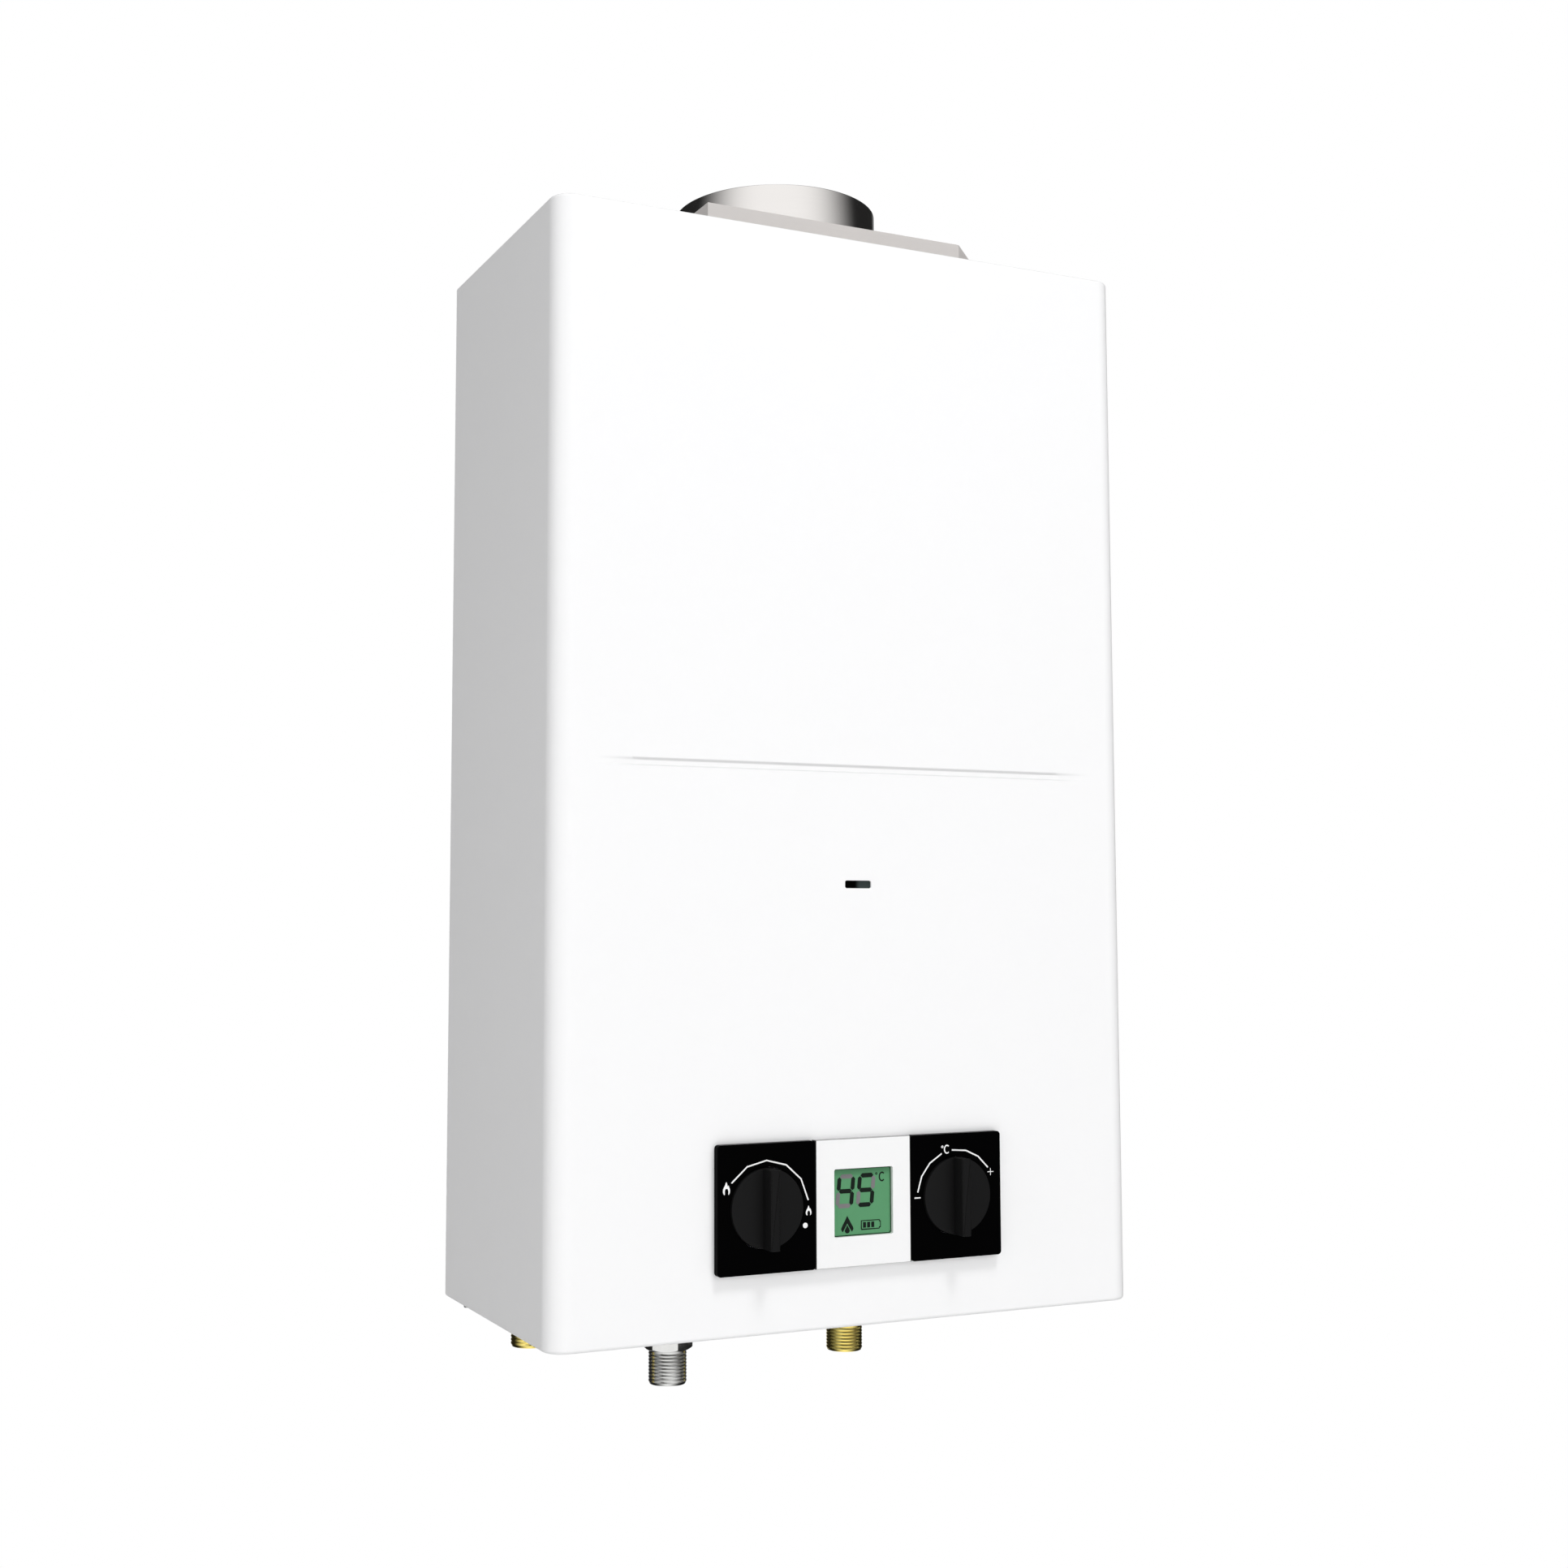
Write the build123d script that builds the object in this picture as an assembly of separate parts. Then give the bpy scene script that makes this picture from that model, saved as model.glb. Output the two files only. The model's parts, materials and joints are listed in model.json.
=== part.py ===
from build123d import *
import os
from math import cos, radians, sin, sqrt

# Wall-hung open-flue gas water heater, in millimetres.
# X runs to the right, Y towards the wall and Z up. The wall is the plane Y = 0.
# Heights are measured from the casing's lower edge while the pieces are made. The whole
# heater is then moved down, so that its origin lies on the wall, midway between the two
# hanging slots.

# Clearances that mating pieces share
fit_gap = 0.3
seat_gap = 0.05
running_gap = 0.05

# Casing and back plate
casing_width = 350.0
casing_height = 590.0
casing_depth = 172.0
casing_corner_radius = 11.5
casing_edge_radius = 2.0
casing_sheet = 1.0
casing_wall_gap = 0.5
casing_flange = 14.0
groove_height = 295.0
groove_width = 3.6
groove_length = 308.0
groove_ramp = 32.0
groove_depth = 0.8
back_sheet = 1.0
back_flange = 14.0
back_margin = 5.0
hanging_height = 548.0
hanging_spacing = 180.0
hanging_slot_width = 6.5
hanging_slot_length = 14.0
lower_hole_height = 36.0
lower_hole_spacing = 330.0
lower_hole_radius = 3.25
rib_heights = (210.0, 365.0)
rib_rise = 3.0
rib_width = 22.0
rib_end_margin = 30.0
casing_screw_y = -24.0
screw_radius = 2.0
screw_head_radius = 3.8
screw_head_height = 2.4

# Sight window in the front of the casing
window_height = 233.0
window_length = 16.0
window_opening = 4.2
window_corner = 1.0
glass_margin = 4.0
glass_thickness = 2.0
clip_sheet = 0.6

# Control panel
panel_height = 65.3
panel_width = 171.0
panel_tall = 66.5
panel_proud = 4.0
panel_corner = 2.0
panel_wall = 1.5
panel_base = 2.0
panel_centre = 57.6
panel_rim = 4.2
panel_skirt = 9.0
inlay_gap = 0.1
dial_shift = 0.25
display_opening = 35.4
display_corner = 1.0
display_recess = 2.0
display_glass = 40.0
display_glass_thickness = 2.8
board_thickness = 1.6
board_width = 84.0
board_tall = 46.0
board_standoff = 3.5
pillar_radius = 3.0

# Knobs and their spindles
knob_radius = 20.6
knob_stand = 1.6
knob_wall = 1.8
knob_skirt = 5.0
knob_gap = 0.6
knob_hub_radius = 6.5
grip_width = 5.4
grip_stand = 9.0
well_wall = 1.2
well_floor = 1.2
spindle_radius = 4.0
spindle_flat = 1.2
spindle_hole_gap = 0.5
spindle_cover = 0.8

# Fittings under the casing, half-inch pipe thread
thread_radius = 10.478
fitting_bore = 7.0
fitting_hex = 24.0
gas_inlet_x = -77.7
gas_inlet_y = -95.0
gas_inlet_drop = 37.6
gas_thread_length = 18.3
cold_inlet_x = 44.6
cold_inlet_y = -72.0
cold_inlet_drop = 34.9
hot_outlet_inset = 30.2
hot_outlet_y = -60.0
hot_outlet_drop = 18.3
water_thread_length = 15.0
neck_radius = 9.0
fitting_hex_tall = 9.0
socket_depth = 8.0
locknut_tall = 6.0

# Lower bracket that holds the fittings
bracket_sheet = 1.5
bracket_upturn = 24.0
bracket_depth = 52.0
screw_room = 14.0

# Gas valve
valve_y = -95.0
gas_block_left = -100.0
gas_block_right = -36.0
gas_block_bottom = 26.0
gas_block_top = 110.0
gas_block_depth = 56.0
block_corner = 5.0
tap_boss_radius = 15.0
tap_boss_length = 18.0
tap_plug_radius = 9.0
tap_plug_length = 34.0
needle_length = 22.0
cover_thickness = 4.0
cover_screw_inset = 8.0
solenoid_radius = 14.0
solenoid_height = 34.0
solenoid_x = -82.0
plunger_radius = 4.0
plunger_length = 22.0
plunger_travel = 2.5
gas_outlet_x = -54.0
gas_pipe_radius = 7.0
gas_pipe_bend = 12.0
rod_entry = 22.0

# Water valve and the linkage that opens the gas
linkage_height = 50.0
chamber_radius = 33.0
chamber_left = 3.0
chamber_cover = 10.0
diaphragm_thickness = 2.0
chamber_body = 14.0
chamber_rim = 9.0
gland_radius = 6.0
gland_length = 5.0
feed_x = 75.0
feed_y = -84.0
water_block_right = 92.0
water_block_bottom = 30.0
water_block_top = 98.0
water_block_depth = 54.0
rod_radius = 2.5
rod_collar_radius = 8.0
rod_collar_length = 3.0
rod_collar_x = -8.0
linkage_travel = 4.0
filter_radius = 6.5
filter_length = 18.0
switch_depth = 6.4
switch_tall = 12.0
switch_drop = 6.5
switch_nose = 3.8
lever_length = 13.0
lever_catch = 2.5
lever_thickness = 0.8
lever_width = 4.0
lever_pin_radius = 1.0

# Burner
burner_bottom = 146.0
burner_tall = 67.0
blade_side_room = 9.0
blade_pitch = 16.0
blade_web = 3.0
blade_head_width = 8.6
blade_head_tall = 9.0
blade_slots = 6
blade_slot_width = 2.4
venturi_height = 16.0
venturi_mouth = 6.4
venturi_throat = 4.0
tray_sheet = 1.0
manifold_tall = 18.0
manifold_depth = 14.0
manifold_gap = 12.0
manifold_front_room = 6.0
injector_radius = 3.2
injector_neck = 2.2
injector_hex = 7.0
injector_hole = 0.5
injector_nose = 9.0

# Heat exchanger
side_room = 70.0
rail_depth = 27.0
shell_sheet = 1.0
shell_corner = 12.0
shell_flange = 8.0
sight_hole_width = 40.0
sight_hole_tall = 14.0
fin_count = 22
fin_thickness = 0.6
fin_tall = 44.0
fin_drop = 10.0
coil_radius = 7.5
coil_bend = 18.0
coil_gap = 1.0
coil_first_height = 268.0
coil_pitch = 34.0
fin_tube_pitch = 34.0
return_bend = 16.0
return_room = 18.0
coil_start_y = -70.0
hot_joint = 350.0
hot_offset_top = 84.0
hot_offset_bottom = 48.0
pipe_wall = 0.8
sensor_height = 180.0
hot_pipe_bend = 16.0
feed_pipe_bend = 12.0
feed_rise = 10.0
feed_drop = 10.0
nut_hex = 24.0
nut_tall = 12.0
rail_sheet = 1.2
rail_tall = 20.0
rail_lift = 12.0
rail_end = 15.0

# Draught hood and flue collar
hood_sheet = 1.0
hood_inside = 166.0
hood_overlap = 16.0
chamber_half_width = 112.0
chamber_top = 575.0
neck_half_width = 80.2
neck_chamfer = 20.0
neck_rise = 15.0
hood_front = 153.0
neck_gap = 1.0
collar_radius = 59.7
collar_sheet = 1.0
collar_rise = 28.0
collar_back = 74.2
collar_flange = 7.0
collar_step = 2.0
riser_inset = 22.0
riser_rise = 46.0
baffle_half_width = 72.0
baffle_rise = 24.0
baffle_height = 505.0

# Electronics and battery
box_left = 72.0
box_width = 78.0
box_bottom = 96.0
box_tall = 84.0
box_depth = 26.0
box_wall = 2.0
cell_radius = 17.1
cell_length = 58.5
cell_cap_radius = 4.5
cell_cap = 3.0
bay_left = 83.0
bay_bottom = 11.0
bay_wall = 1.5
lid_thickness = 2.5
lid_pin_radius = 1.5
lid_barrel_wall = 0.5
lid_room = 2.0
contact_thickness = 0.6

# Electrodes, sensors and leads
electrode_radius = 3.5
electrode_length = 26.0
electrode_wire = 1.0
electrode_lift = 7.0
spark_x = -36.0
flame_x = 36.0
thermostat_radius = 8.0
thermostat_height = 7.0
thermostat_drop = 80.0
clamp_width = 20.0
clamp_tall = 12.0
clamp_sheet = 1.5
lead_radius = 1.5

# Places worked out from the sizes above
half_width = casing_width / 2
dial_offset = (panel_width + panel_centre) / 4 + dial_shift
hot_outlet_x = hot_outlet_inset - half_width
front_y = -casing_wall_gap - casing_depth
inner_front_y = front_y + casing_sheet
inner_side_x = half_width - casing_sheet
panel_y = front_y - panel_proud
plate_y = -back_sheet
shell_half = half_width - side_room
blade_count = int((2 * (shell_half - blade_side_room) + fit_gap) / blade_pitch)
shell_back_y = plate_y - rail_depth
manifold_y = inner_front_y + manifold_front_room + manifold_depth / 2
shell_front_y = manifold_y + manifold_depth / 2 + manifold_gap
shell_mid_y = (shell_front_y + shell_back_y) / 2
shell_depth = shell_back_y - shell_front_y
burner_top = burner_bottom + burner_tall
feed_joint = burner_bottom - feed_drop
shell_top = casing_height - hood_inside
fin_top = shell_top - fin_drop
fin_mid = fin_top - fin_tall / 2
coil_x = shell_half + coil_gap + coil_radius
coil_front_y = shell_front_y - coil_gap - coil_radius
coil_back_y = shell_back_y + coil_gap + coil_radius
return_x = shell_half + return_room
bracket_bottom = casing_sheet + fit_gap
bracket_top = bracket_bottom + bracket_sheet
hood_top = casing_height + neck_rise
hood_bottom = shell_top + hood_overlap
venturi_z = burner_bottom + venturi_height
board_y = front_y + panel_skirt + board_standoff
gas_front_y = valve_y - gas_block_depth / 2
gas_back_y = valve_y + gas_block_depth / 2
tap_plug_front = gas_front_y + 2.0
manifold_bottom = venturi_z - manifold_tall / 2
electrode_z = burner_top + electrode_lift
riser_top = shell_top + riser_rise
lever_x = rod_collar_x - rod_collar_length / 2 - fit_gap - lever_thickness / 2
lever_pivot_z = linkage_height + rod_collar_radius - lever_catch + lever_length
gas_outlet_y = gas_front_y + gas_pipe_radius + 4
chamber_right = chamber_left + chamber_cover + diaphragm_thickness + chamber_body
diaphragm_x = chamber_left + chamber_cover
water_front_y = valve_y - water_block_depth / 2
water_back_y = cold_inlet_y + neck_radius + 4
bay_inner_width = 4 * cell_radius + 3 * fit_gap
bay_inner_depth = 2 * cell_radius + 2 * fit_gap
bay_right = bay_left + bay_inner_width + 2 * bay_wall
bay_front_y = plate_y - bay_inner_depth - 2 * bay_wall
cell_bottom = bay_bottom + 2 * (lid_pin_radius + lid_barrel_wall) + fit_gap
bay_top = cell_bottom + cell_length + cell_cap + contact_thickness + fit_gap + bay_wall


def front_plane(y):
    """A drawing plane that faces the user, with X across and Z up."""
    return Plane(origin=(0, y, 0), x_dir=(1, 0, 0), z_dir=(0, -1, 0))


def side_plane(x):
    """A drawing plane that faces right, with Y across and Z up."""
    return Plane(origin=(x, 0, 0), x_dir=(0, 1, 0), z_dir=(1, 0, 0))


def level(z):
    """A drawing plane that faces up."""
    return Plane.XY.offset(z)


def block(x, y, z):
    """A plain block between two limits on each axis."""
    middle = [sum(pair) / 2 for pair in (x, y, z)]
    return Pos(*middle) * Box(x[1] - x[0], y[1] - y[0], z[1] - z[0])


def turned(place, *profile):
    """A solid of revolution about the place's own axis, from (radius, height) points."""
    outline = make_face(Polyline(*profile, close=True))
    return place * revolve(Plane.XZ * outline, Axis.Z)


def rod(start, end, radius, bore=0.0):
    """A straight round bar or tube between two points."""
    direction = Vector(*end) - Vector(*start)
    section = Circle(radius) - Circle(bore) if bore else Circle(radius)
    return extrude(Plane(origin=start, z_dir=direction) * section, amount=direction.length)


def pipe(points, bends, radius, bore=0.0):
    """A bent tube along straight runs with a round bend at each corner."""
    path = FilletPolyline(*points, radius=bends)
    section = Circle(radius) - Circle(bore) if bore else Circle(radius)
    return sweep(Plane(origin=path @ 0, z_dir=path % 0) * section, path=path)


def hexagon(across_flats):
    """A hexagon with its flats this far apart."""
    return RegularPolygon(across_flats / sqrt(3), 6)


def group(solids):
    """Several solids that share one node."""
    return Compound(children=list(solids))


def screw(place, length):
    """A pan-head screw whose head sits on the place and whose shank runs back into it."""
    return turned(
        place,
        (0, -length),
        (screw_radius, -length),
        (screw_radius, 0),
        (screw_head_radius, 0),
        (screw_head_radius * 0.8, screw_head_height),
        (0, screw_head_height),
    )


def rounded_plan(inset):
    """The casing's outline from above, drawn in by an inset: round front corners, square at the back."""
    left = -half_width + inset
    front = front_y + inset
    radius = casing_corner_radius - inset
    back = -casing_wall_gap
    outline = Polyline((left, back), (left, front), (-left, front), (-left, back), close=True)
    face = make_face(outline)
    corners = face.vertices().sort_by(Axis.Y)[:2]
    return fillet(corners, radius)


def neck_plan(margin, back):
    """The raised neck's outline from above: square at the left, cut off at 45 degrees at the right."""
    left = -neck_half_width - margin
    front = -hood_front - margin
    cut = margin * (sqrt(2) - 1)
    right = neck_half_width + neck_chamfer + margin
    return make_face(
        Polyline(
            (left, back),
            (left, front),
            (neck_half_width + cut, front),
            (right, -hood_front + neck_chamfer - cut),
            (right, back),
            close=True,
        )
    )


def groove_solid(grow):
    """The pressed groove: a shallow bar that runs out to nothing at both ends."""
    half = groove_length / 2 + grow
    flat = groove_length / 2 - groove_ramp + grow / 2
    bottom = front_y + groove_depth + grow
    outline = make_face(
        Polyline((-half, front_y), (-flat, bottom), (flat, bottom), (half, front_y), close=True)
    )
    width = groove_width + 2 * grow
    return extrude(level(groove_height - width / 2) * outline, amount=width)


def front_casing():
    """The painted outer shell: one deep-drawn sheet, open at the back and underneath."""
    body = extrude(rounded_plan(0), amount=casing_height)
    rims = body.edges().filter_by(lambda e: abs(e.center().Z - casing_height / 2) > casing_height / 2 - 0.01)
    rims = rims.filter_by(lambda e: e.center().Y < -casing_wall_gap - 0.01)
    body = fillet(rims, casing_edge_radius)
    inside = extrude(
        level(casing_sheet) * rounded_plan(casing_sheet), amount=casing_height - 2 * casing_sheet
    )
    shell = body - inside
    shell -= extrude(level(-1) * bottom_opening(), amount=casing_sheet + 2)
    shell -= extrude(
        level(casing_height - casing_edge_radius - 2) * neck_plan(neck_gap, 0),
        amount=casing_edge_radius + 4,
    )
    front_room = block((-half_width, half_width), (front_y, inner_front_y + 2), (0, casing_height))
    shell += groove_solid(casing_sheet) & front_room
    shell -= groove_solid(0)
    face = front_plane(front_y + casing_sheet + groove_depth)
    through = casing_sheet + groove_depth + 1
    window = Pos(0, window_height) * RectangleRounded(window_length, window_opening, window_corner)
    shell -= extrude(face * window, amount=through)
    opening = Pos(0, panel_height) * Rectangle(panel_width - 2 * panel_rim, panel_tall - 2 * panel_rim)
    shell -= extrude(face * opening, amount=through)
    for x in casing_screw_places():
        shell -= rod((x, casing_screw_y, -1), (x, casing_screw_y, casing_sheet + 1), screw_radius + fit_gap)
    return shell


def bottom_opening():
    """The open underside inside the casing's return flange."""
    half = half_width - casing_flange
    front = front_y + casing_flange
    return make_face(Polyline((-half, 0), (-half, front), (half, front), (half, 0), close=True))


def casing_screw_places():
    """The two screws that hold the casing's lower flange to the bracket."""
    return [side * (half_width - casing_flange / 2) for side in (-1, 1)]


def casing_screws():
    """The screws under the casing's lower flange."""
    return group(
        screw(Plane(origin=(x, casing_screw_y, 0), z_dir=(0, 0, -1)), bracket_top + 3)
        for x in casing_screw_places()
    )


def back_plate():
    """The pan that hangs on the wall: flanged edges, two pressed ribs, hanging slots and lower holes."""
    width = 2 * (inner_side_x - fit_gap)
    bottom = back_margin
    top = casing_height - back_margin
    middle = (bottom + top) / 2
    pan = extrude(front_plane(0) * (Pos(0, middle) * Rectangle(width, top - bottom)), amount=back_flange)
    hollow = Pos(0, middle - back_sheet) * Rectangle(width - 2 * back_sheet, top - bottom)
    pan -= extrude(front_plane(plate_y) * hollow, amount=back_flange)
    pan -= extrude(level(top - 2 * back_sheet) * neck_plan(neck_gap, plate_y), amount=4 * back_sheet)
    rib_length = width - 2 * rib_end_margin
    for z in rib_heights:
        pan += pressed_rib(rib_length, z, rib_rise, 0)
        pan -= pressed_rib(rib_length, z, rib_rise, back_sheet)
    cut = back_sheet + 2
    for side in (-1, 1):
        slot = SlotOverall(hanging_slot_length, hanging_slot_width)
        slot = Pos(side * hanging_spacing / 2, hanging_height) * slot
        hole = Pos(side * lower_hole_spacing / 2, lower_hole_height) * Circle(lower_hole_radius)
        pan -= extrude(front_plane(1) * (slot + hole), amount=cut)
    return pan


def pressed_rib(length, z, rise, inset):
    """A shallow raised rib with sloping sides, standing forward of the back plate."""
    slope = rise
    rib = Rectangle(length - 2 * inset, rib_width - 2 * inset)
    base = front_plane(-back_sheet + inset) * (Pos(0, z) * rib)
    crown = front_plane(-back_sheet + inset - rise) * (
        Pos(0, z) * Rectangle(length - 2 * inset - 2 * slope, rib_width - 2 * inset - 2 * slope)
    )
    return loft([base, crown])


def lower_bracket():
    """The bracket behind the casing's lower edge that holds the three fittings."""
    half = inner_side_x - fit_gap - back_sheet - fit_gap
    reach_left = hot_outlet_x - 20
    reach_right = cold_inlet_x + 22
    reach_y = gas_inlet_y - 20
    outline = make_face(
        Polyline(
            (-half, plate_y),
            (-half, -bracket_depth),
            (reach_left, -bracket_depth),
            (reach_left, hot_outlet_y - 20),
            (reach_left + 30, reach_y),
            (reach_right, reach_y),
            (reach_right, -bracket_depth),
            (half, -bracket_depth),
            (half, plate_y),
            close=True,
        )
    )
    corners = outline.vertices().filter_by(lambda v: v.Y < reach_y + 1)
    tray = extrude(level(bracket_bottom) * fillet(corners, 8), amount=bracket_sheet)
    tray -= block(
        (bay_left - lid_room, bay_right + lid_room),
        (bay_front_y - lid_room, plate_y - bracket_sheet),
        (bracket_bottom - 1, bracket_top + 1),
    )
    tray += block(
        (-lower_hole_spacing / 2 + screw_room, bay_left - lid_room),
        (plate_y - bracket_sheet, plate_y),
        (bracket_bottom, bracket_upturn),
    )
    for x, y in ((gas_inlet_x, gas_inlet_y), (cold_inlet_x, cold_inlet_y), (hot_outlet_x, hot_outlet_y)):
        tray -= rod((x, y, bracket_bottom - 1), (x, y, bracket_top + 1), neck_radius + seat_gap)
    for x in casing_screw_places():
        tray -= rod((x, casing_screw_y, 0), (x, casing_screw_y, bracket_top + 1), screw_radius + seat_gap)
    return tray


def sight_glass():
    """The heat-proof glass behind the sight slot."""
    plate = Pos(0, window_height) * RectangleRounded(
        window_length + 2 * glass_margin, window_opening + 2 * glass_margin, 1.5
    )
    return extrude(front_plane(inner_front_y + glass_thickness) * plate, amount=glass_thickness)


def sight_glass_clip():
    """The spring frame that presses the glass against the casing."""
    wide = window_length + 2 * glass_margin
    tall = window_opening + 2 * glass_margin
    back = inner_front_y + glass_thickness
    frame = Rectangle(wide + 16, tall) - Rectangle(wide - 5, tall - 5)
    clip = extrude(front_plane(back + clip_sheet) * (Pos(0, window_height) * frame), amount=clip_sheet)
    for side in (-1, 1):
        foot = side * (wide / 2 + 5)
        clip += block(
            sorted((foot, foot + side * 3)),
            (inner_front_y, back),
            (window_height - tall / 2, window_height + tall / 2),
        )
    return clip


def panel_outline(inset, corner):
    """The control panel's front outline, drawn in by an inset."""
    return Pos(0, panel_height) * RectangleRounded(panel_width - 2 * inset, panel_tall - 2 * inset, corner)


def panel_body():
    """The white moulding: carrier plate, raised centre, skirt through the casing and two knob wells."""
    carrier = extrude(
        front_plane(front_y) * panel_outline(panel_wall + inlay_gap, panel_corner),
        amount=panel_base,
    )
    centre = Pos(0, panel_height) * Rectangle(panel_centre, panel_tall)
    body = carrier + extrude(front_plane(front_y) * centre, amount=panel_proud)
    top_edges = body.faces().sort_by(Axis.Y)[0].edges()
    body = fillet(top_edges, 0.3)
    rim = panel_rim + fit_gap
    skirt = Rectangle(panel_width - 2 * rim, panel_tall - 2 * rim)
    skirt -= Rectangle(panel_width - 2 * rim - 2 * panel_wall, panel_tall - 2 * rim - 2 * panel_wall)
    body += extrude(
        front_plane(front_y + panel_skirt) * (Pos(0, panel_height) * skirt),
        amount=panel_skirt + 0.5,
    )
    for side in (-1, 1):
        well = Circle(knob_radius + knob_gap + well_wall)
        place = Pos(side * dial_offset, panel_height)
        body += extrude(front_plane(front_y + panel_skirt) * (place * well), amount=panel_skirt + 0.5)
    for side in (-1, 1):
        place = Pos(side * dial_offset, panel_height)
        bore = Circle(knob_radius + knob_gap)
        body -= extrude(
            front_plane(front_y + panel_skirt - well_floor) * (place * bore), amount=panel_skirt + 9
        )
        hole = Circle(spindle_radius + spindle_hole_gap)
        body -= extrude(front_plane(front_y + panel_skirt + 1) * (place * hole), amount=panel_skirt + 9)
    opening = RectangleRounded(display_opening, display_opening, display_corner)
    pocket = Rectangle(display_glass + 2 * inlay_gap, display_glass + 2 * inlay_gap)
    middle = Pos(0, panel_height)
    body -= extrude(front_plane(front_y + 1) * (middle * opening), amount=panel_proud + 2)
    body -= extrude(front_plane(front_y + 1) * (middle * pocket), amount=1 + panel_proud - display_recess)
    for x in (-52, -26, 26, 52):
        for side in (-1, 1):
            body += panel_hook(x, side)
    for x, z in board_screw_places():
        body += rod((x, board_y, z), (x, front_y, z), pillar_radius)
    return body


def panel_hook(x, side):
    """A moulded hook on the skirt that snaps behind the casing's sheet."""
    edge = panel_tall / 2 - panel_rim - fit_gap
    z = panel_height + side * edge
    catch = inner_front_y + seat_gap
    outline = make_face(
        Polyline((catch, z), (catch, z + side * 1.2), (front_y + panel_skirt, z), close=True)
    )
    return extrude(side_plane(x - 4) * outline, amount=8)


def board_screw_places():
    """The corners at which the display board is screwed to its pillars."""
    x = display_glass / 2 + 2 * pillar_radius
    z = board_tall / 2 - pillar_radius
    return [(sx * x, panel_height + sz * z) for sx in (-1, 1) for sz in (-1, 1)]


def panel_inlay(side):
    """A glossy black inlay: a front plate with walls round its outer sides and a hole for the knob."""
    inner = side * (panel_centre / 2 + inlay_gap)
    outer = side * panel_width / 2
    width = abs(outer - inner)
    middle = Pos((inner + outer) / 2, panel_height)
    inlay = extrude(front_plane(front_y) * (middle * Rectangle(width, panel_tall)), amount=panel_proud)
    inlay = fillet(inlay.edges().filter_by(Axis.Y), panel_corner)
    hollow = panel_outline(panel_wall, panel_corner) & (
        Pos((inner - side * 5 + outer) / 2, panel_height) * Rectangle(width + 5, panel_tall)
    )
    inlay -= extrude(front_plane(front_y) * hollow, amount=panel_base)
    knob_hole = Pos(side * dial_offset, panel_height) * Circle(knob_radius + knob_gap)
    return inlay - extrude(front_plane(front_y + 1) * knob_hole, amount=panel_proud + 2)


def display_panel():
    """The liquid-crystal glass behind the window in the panel's raised centre."""
    back = panel_y + display_recess + display_glass_thickness
    glass = Pos(0, panel_height) * Rectangle(display_glass, display_glass)
    return extrude(front_plane(back) * glass, amount=display_glass_thickness)


def display_light_box():
    """The white light box between the glass and the board."""
    front = panel_y + display_recess + display_glass_thickness
    side = display_glass - 2
    box = extrude(
        front_plane(board_y) * (Pos(0, panel_height) * Rectangle(side, side)),
        amount=board_y - front,
    )
    return fillet(box.edges().filter_by(Axis.Y), 1.5)


def display_board():
    """The circuit board behind the panel, with its connector and two larger parts."""
    board = Pos(0, panel_height) * RectangleRounded(board_width, board_tall, 2)
    for x, z in board_screw_places():
        board -= Pos(x, z) * Circle(screw_radius * 0.6)
    back = board_y + board_thickness
    circuit = extrude(front_plane(back) * board, amount=board_thickness)
    connector = Pos(-26, panel_height - 16) * (Rectangle(16, 7) - Pos(0, 1) * Rectangle(13, 4))
    circuit += extrude(front_plane(back + 7) * connector, amount=7)
    chip = Pos(8, panel_height + 6) * Rectangle(12, 12)
    buzzer = Pos(28, panel_height - 8) * Circle(6)
    circuit += extrude(front_plane(back + 2) * chip, amount=2)
    return circuit + extrude(front_plane(back + 6) * buzzer, amount=6)


def knob(side):
    """A control knob: a dished disc with a skirt, a hub for the spindle and a bar grip across it."""
    place = Plane(origin=(side * dial_offset, panel_y, panel_height), x_dir=(1, 0, 0), z_dir=(0, -1, 0))
    inner = knob_radius - knob_wall
    under = knob_stand - knob_wall
    hub_end = -knob_skirt - 2
    body = turned(
        place,
        (0, knob_stand),
        (knob_radius - 0.4, knob_stand),
        (knob_radius, knob_stand - 0.4),
        (knob_radius, -knob_skirt),
        (inner, -knob_skirt),
        (inner, under),
        (knob_hub_radius, under),
        (knob_hub_radius, hub_end),
        (0, hub_end),
    )
    bar = Rectangle(grip_width, 2 * knob_radius) & Circle(knob_radius)
    grip = extrude(bar, amount=grip_stand)
    grip = fillet(grip.faces().sort_by(Axis.Z)[-1].edges(), 0.5)
    body += place * (Pos(0, 0, knob_stand) * grip)
    socket = spindle_section(seat_gap, knob_stand - spindle_cover - hub_end)
    return body - place * (Pos(0, 0, hub_end) * socket)


def spindle_section(gap, length):
    """A length of the round spindle with its driving flat, with a gap all round."""
    radius = spindle_radius + gap
    flat = Pos(0, radius) * Rectangle(2 * radius, 2 * (spindle_flat - gap))
    return extrude(Circle(radius) - flat, amount=length)


def spindle(side, back_y):
    """A spindle from inside the knob's hub back to the valve it turns."""
    tip = panel_y - knob_stand + spindle_cover + seat_gap
    shoulder = panel_y + knob_skirt + 2 + fit_gap
    centre = (side * dial_offset, panel_height)
    place = Plane(origin=(centre[0], shoulder, centre[1]), x_dir=(1, 0, 0), z_dir=(0, -1, 0))
    flatted = place * spindle_section(0, shoulder - tip)
    return flatted + rod((centre[0], back_y, centre[1]), (centre[0], shoulder, centre[1]), spindle_radius)


def gas_spindle():
    """The gas knob's spindle."""
    return spindle(-1, tap_plug_front)


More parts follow.
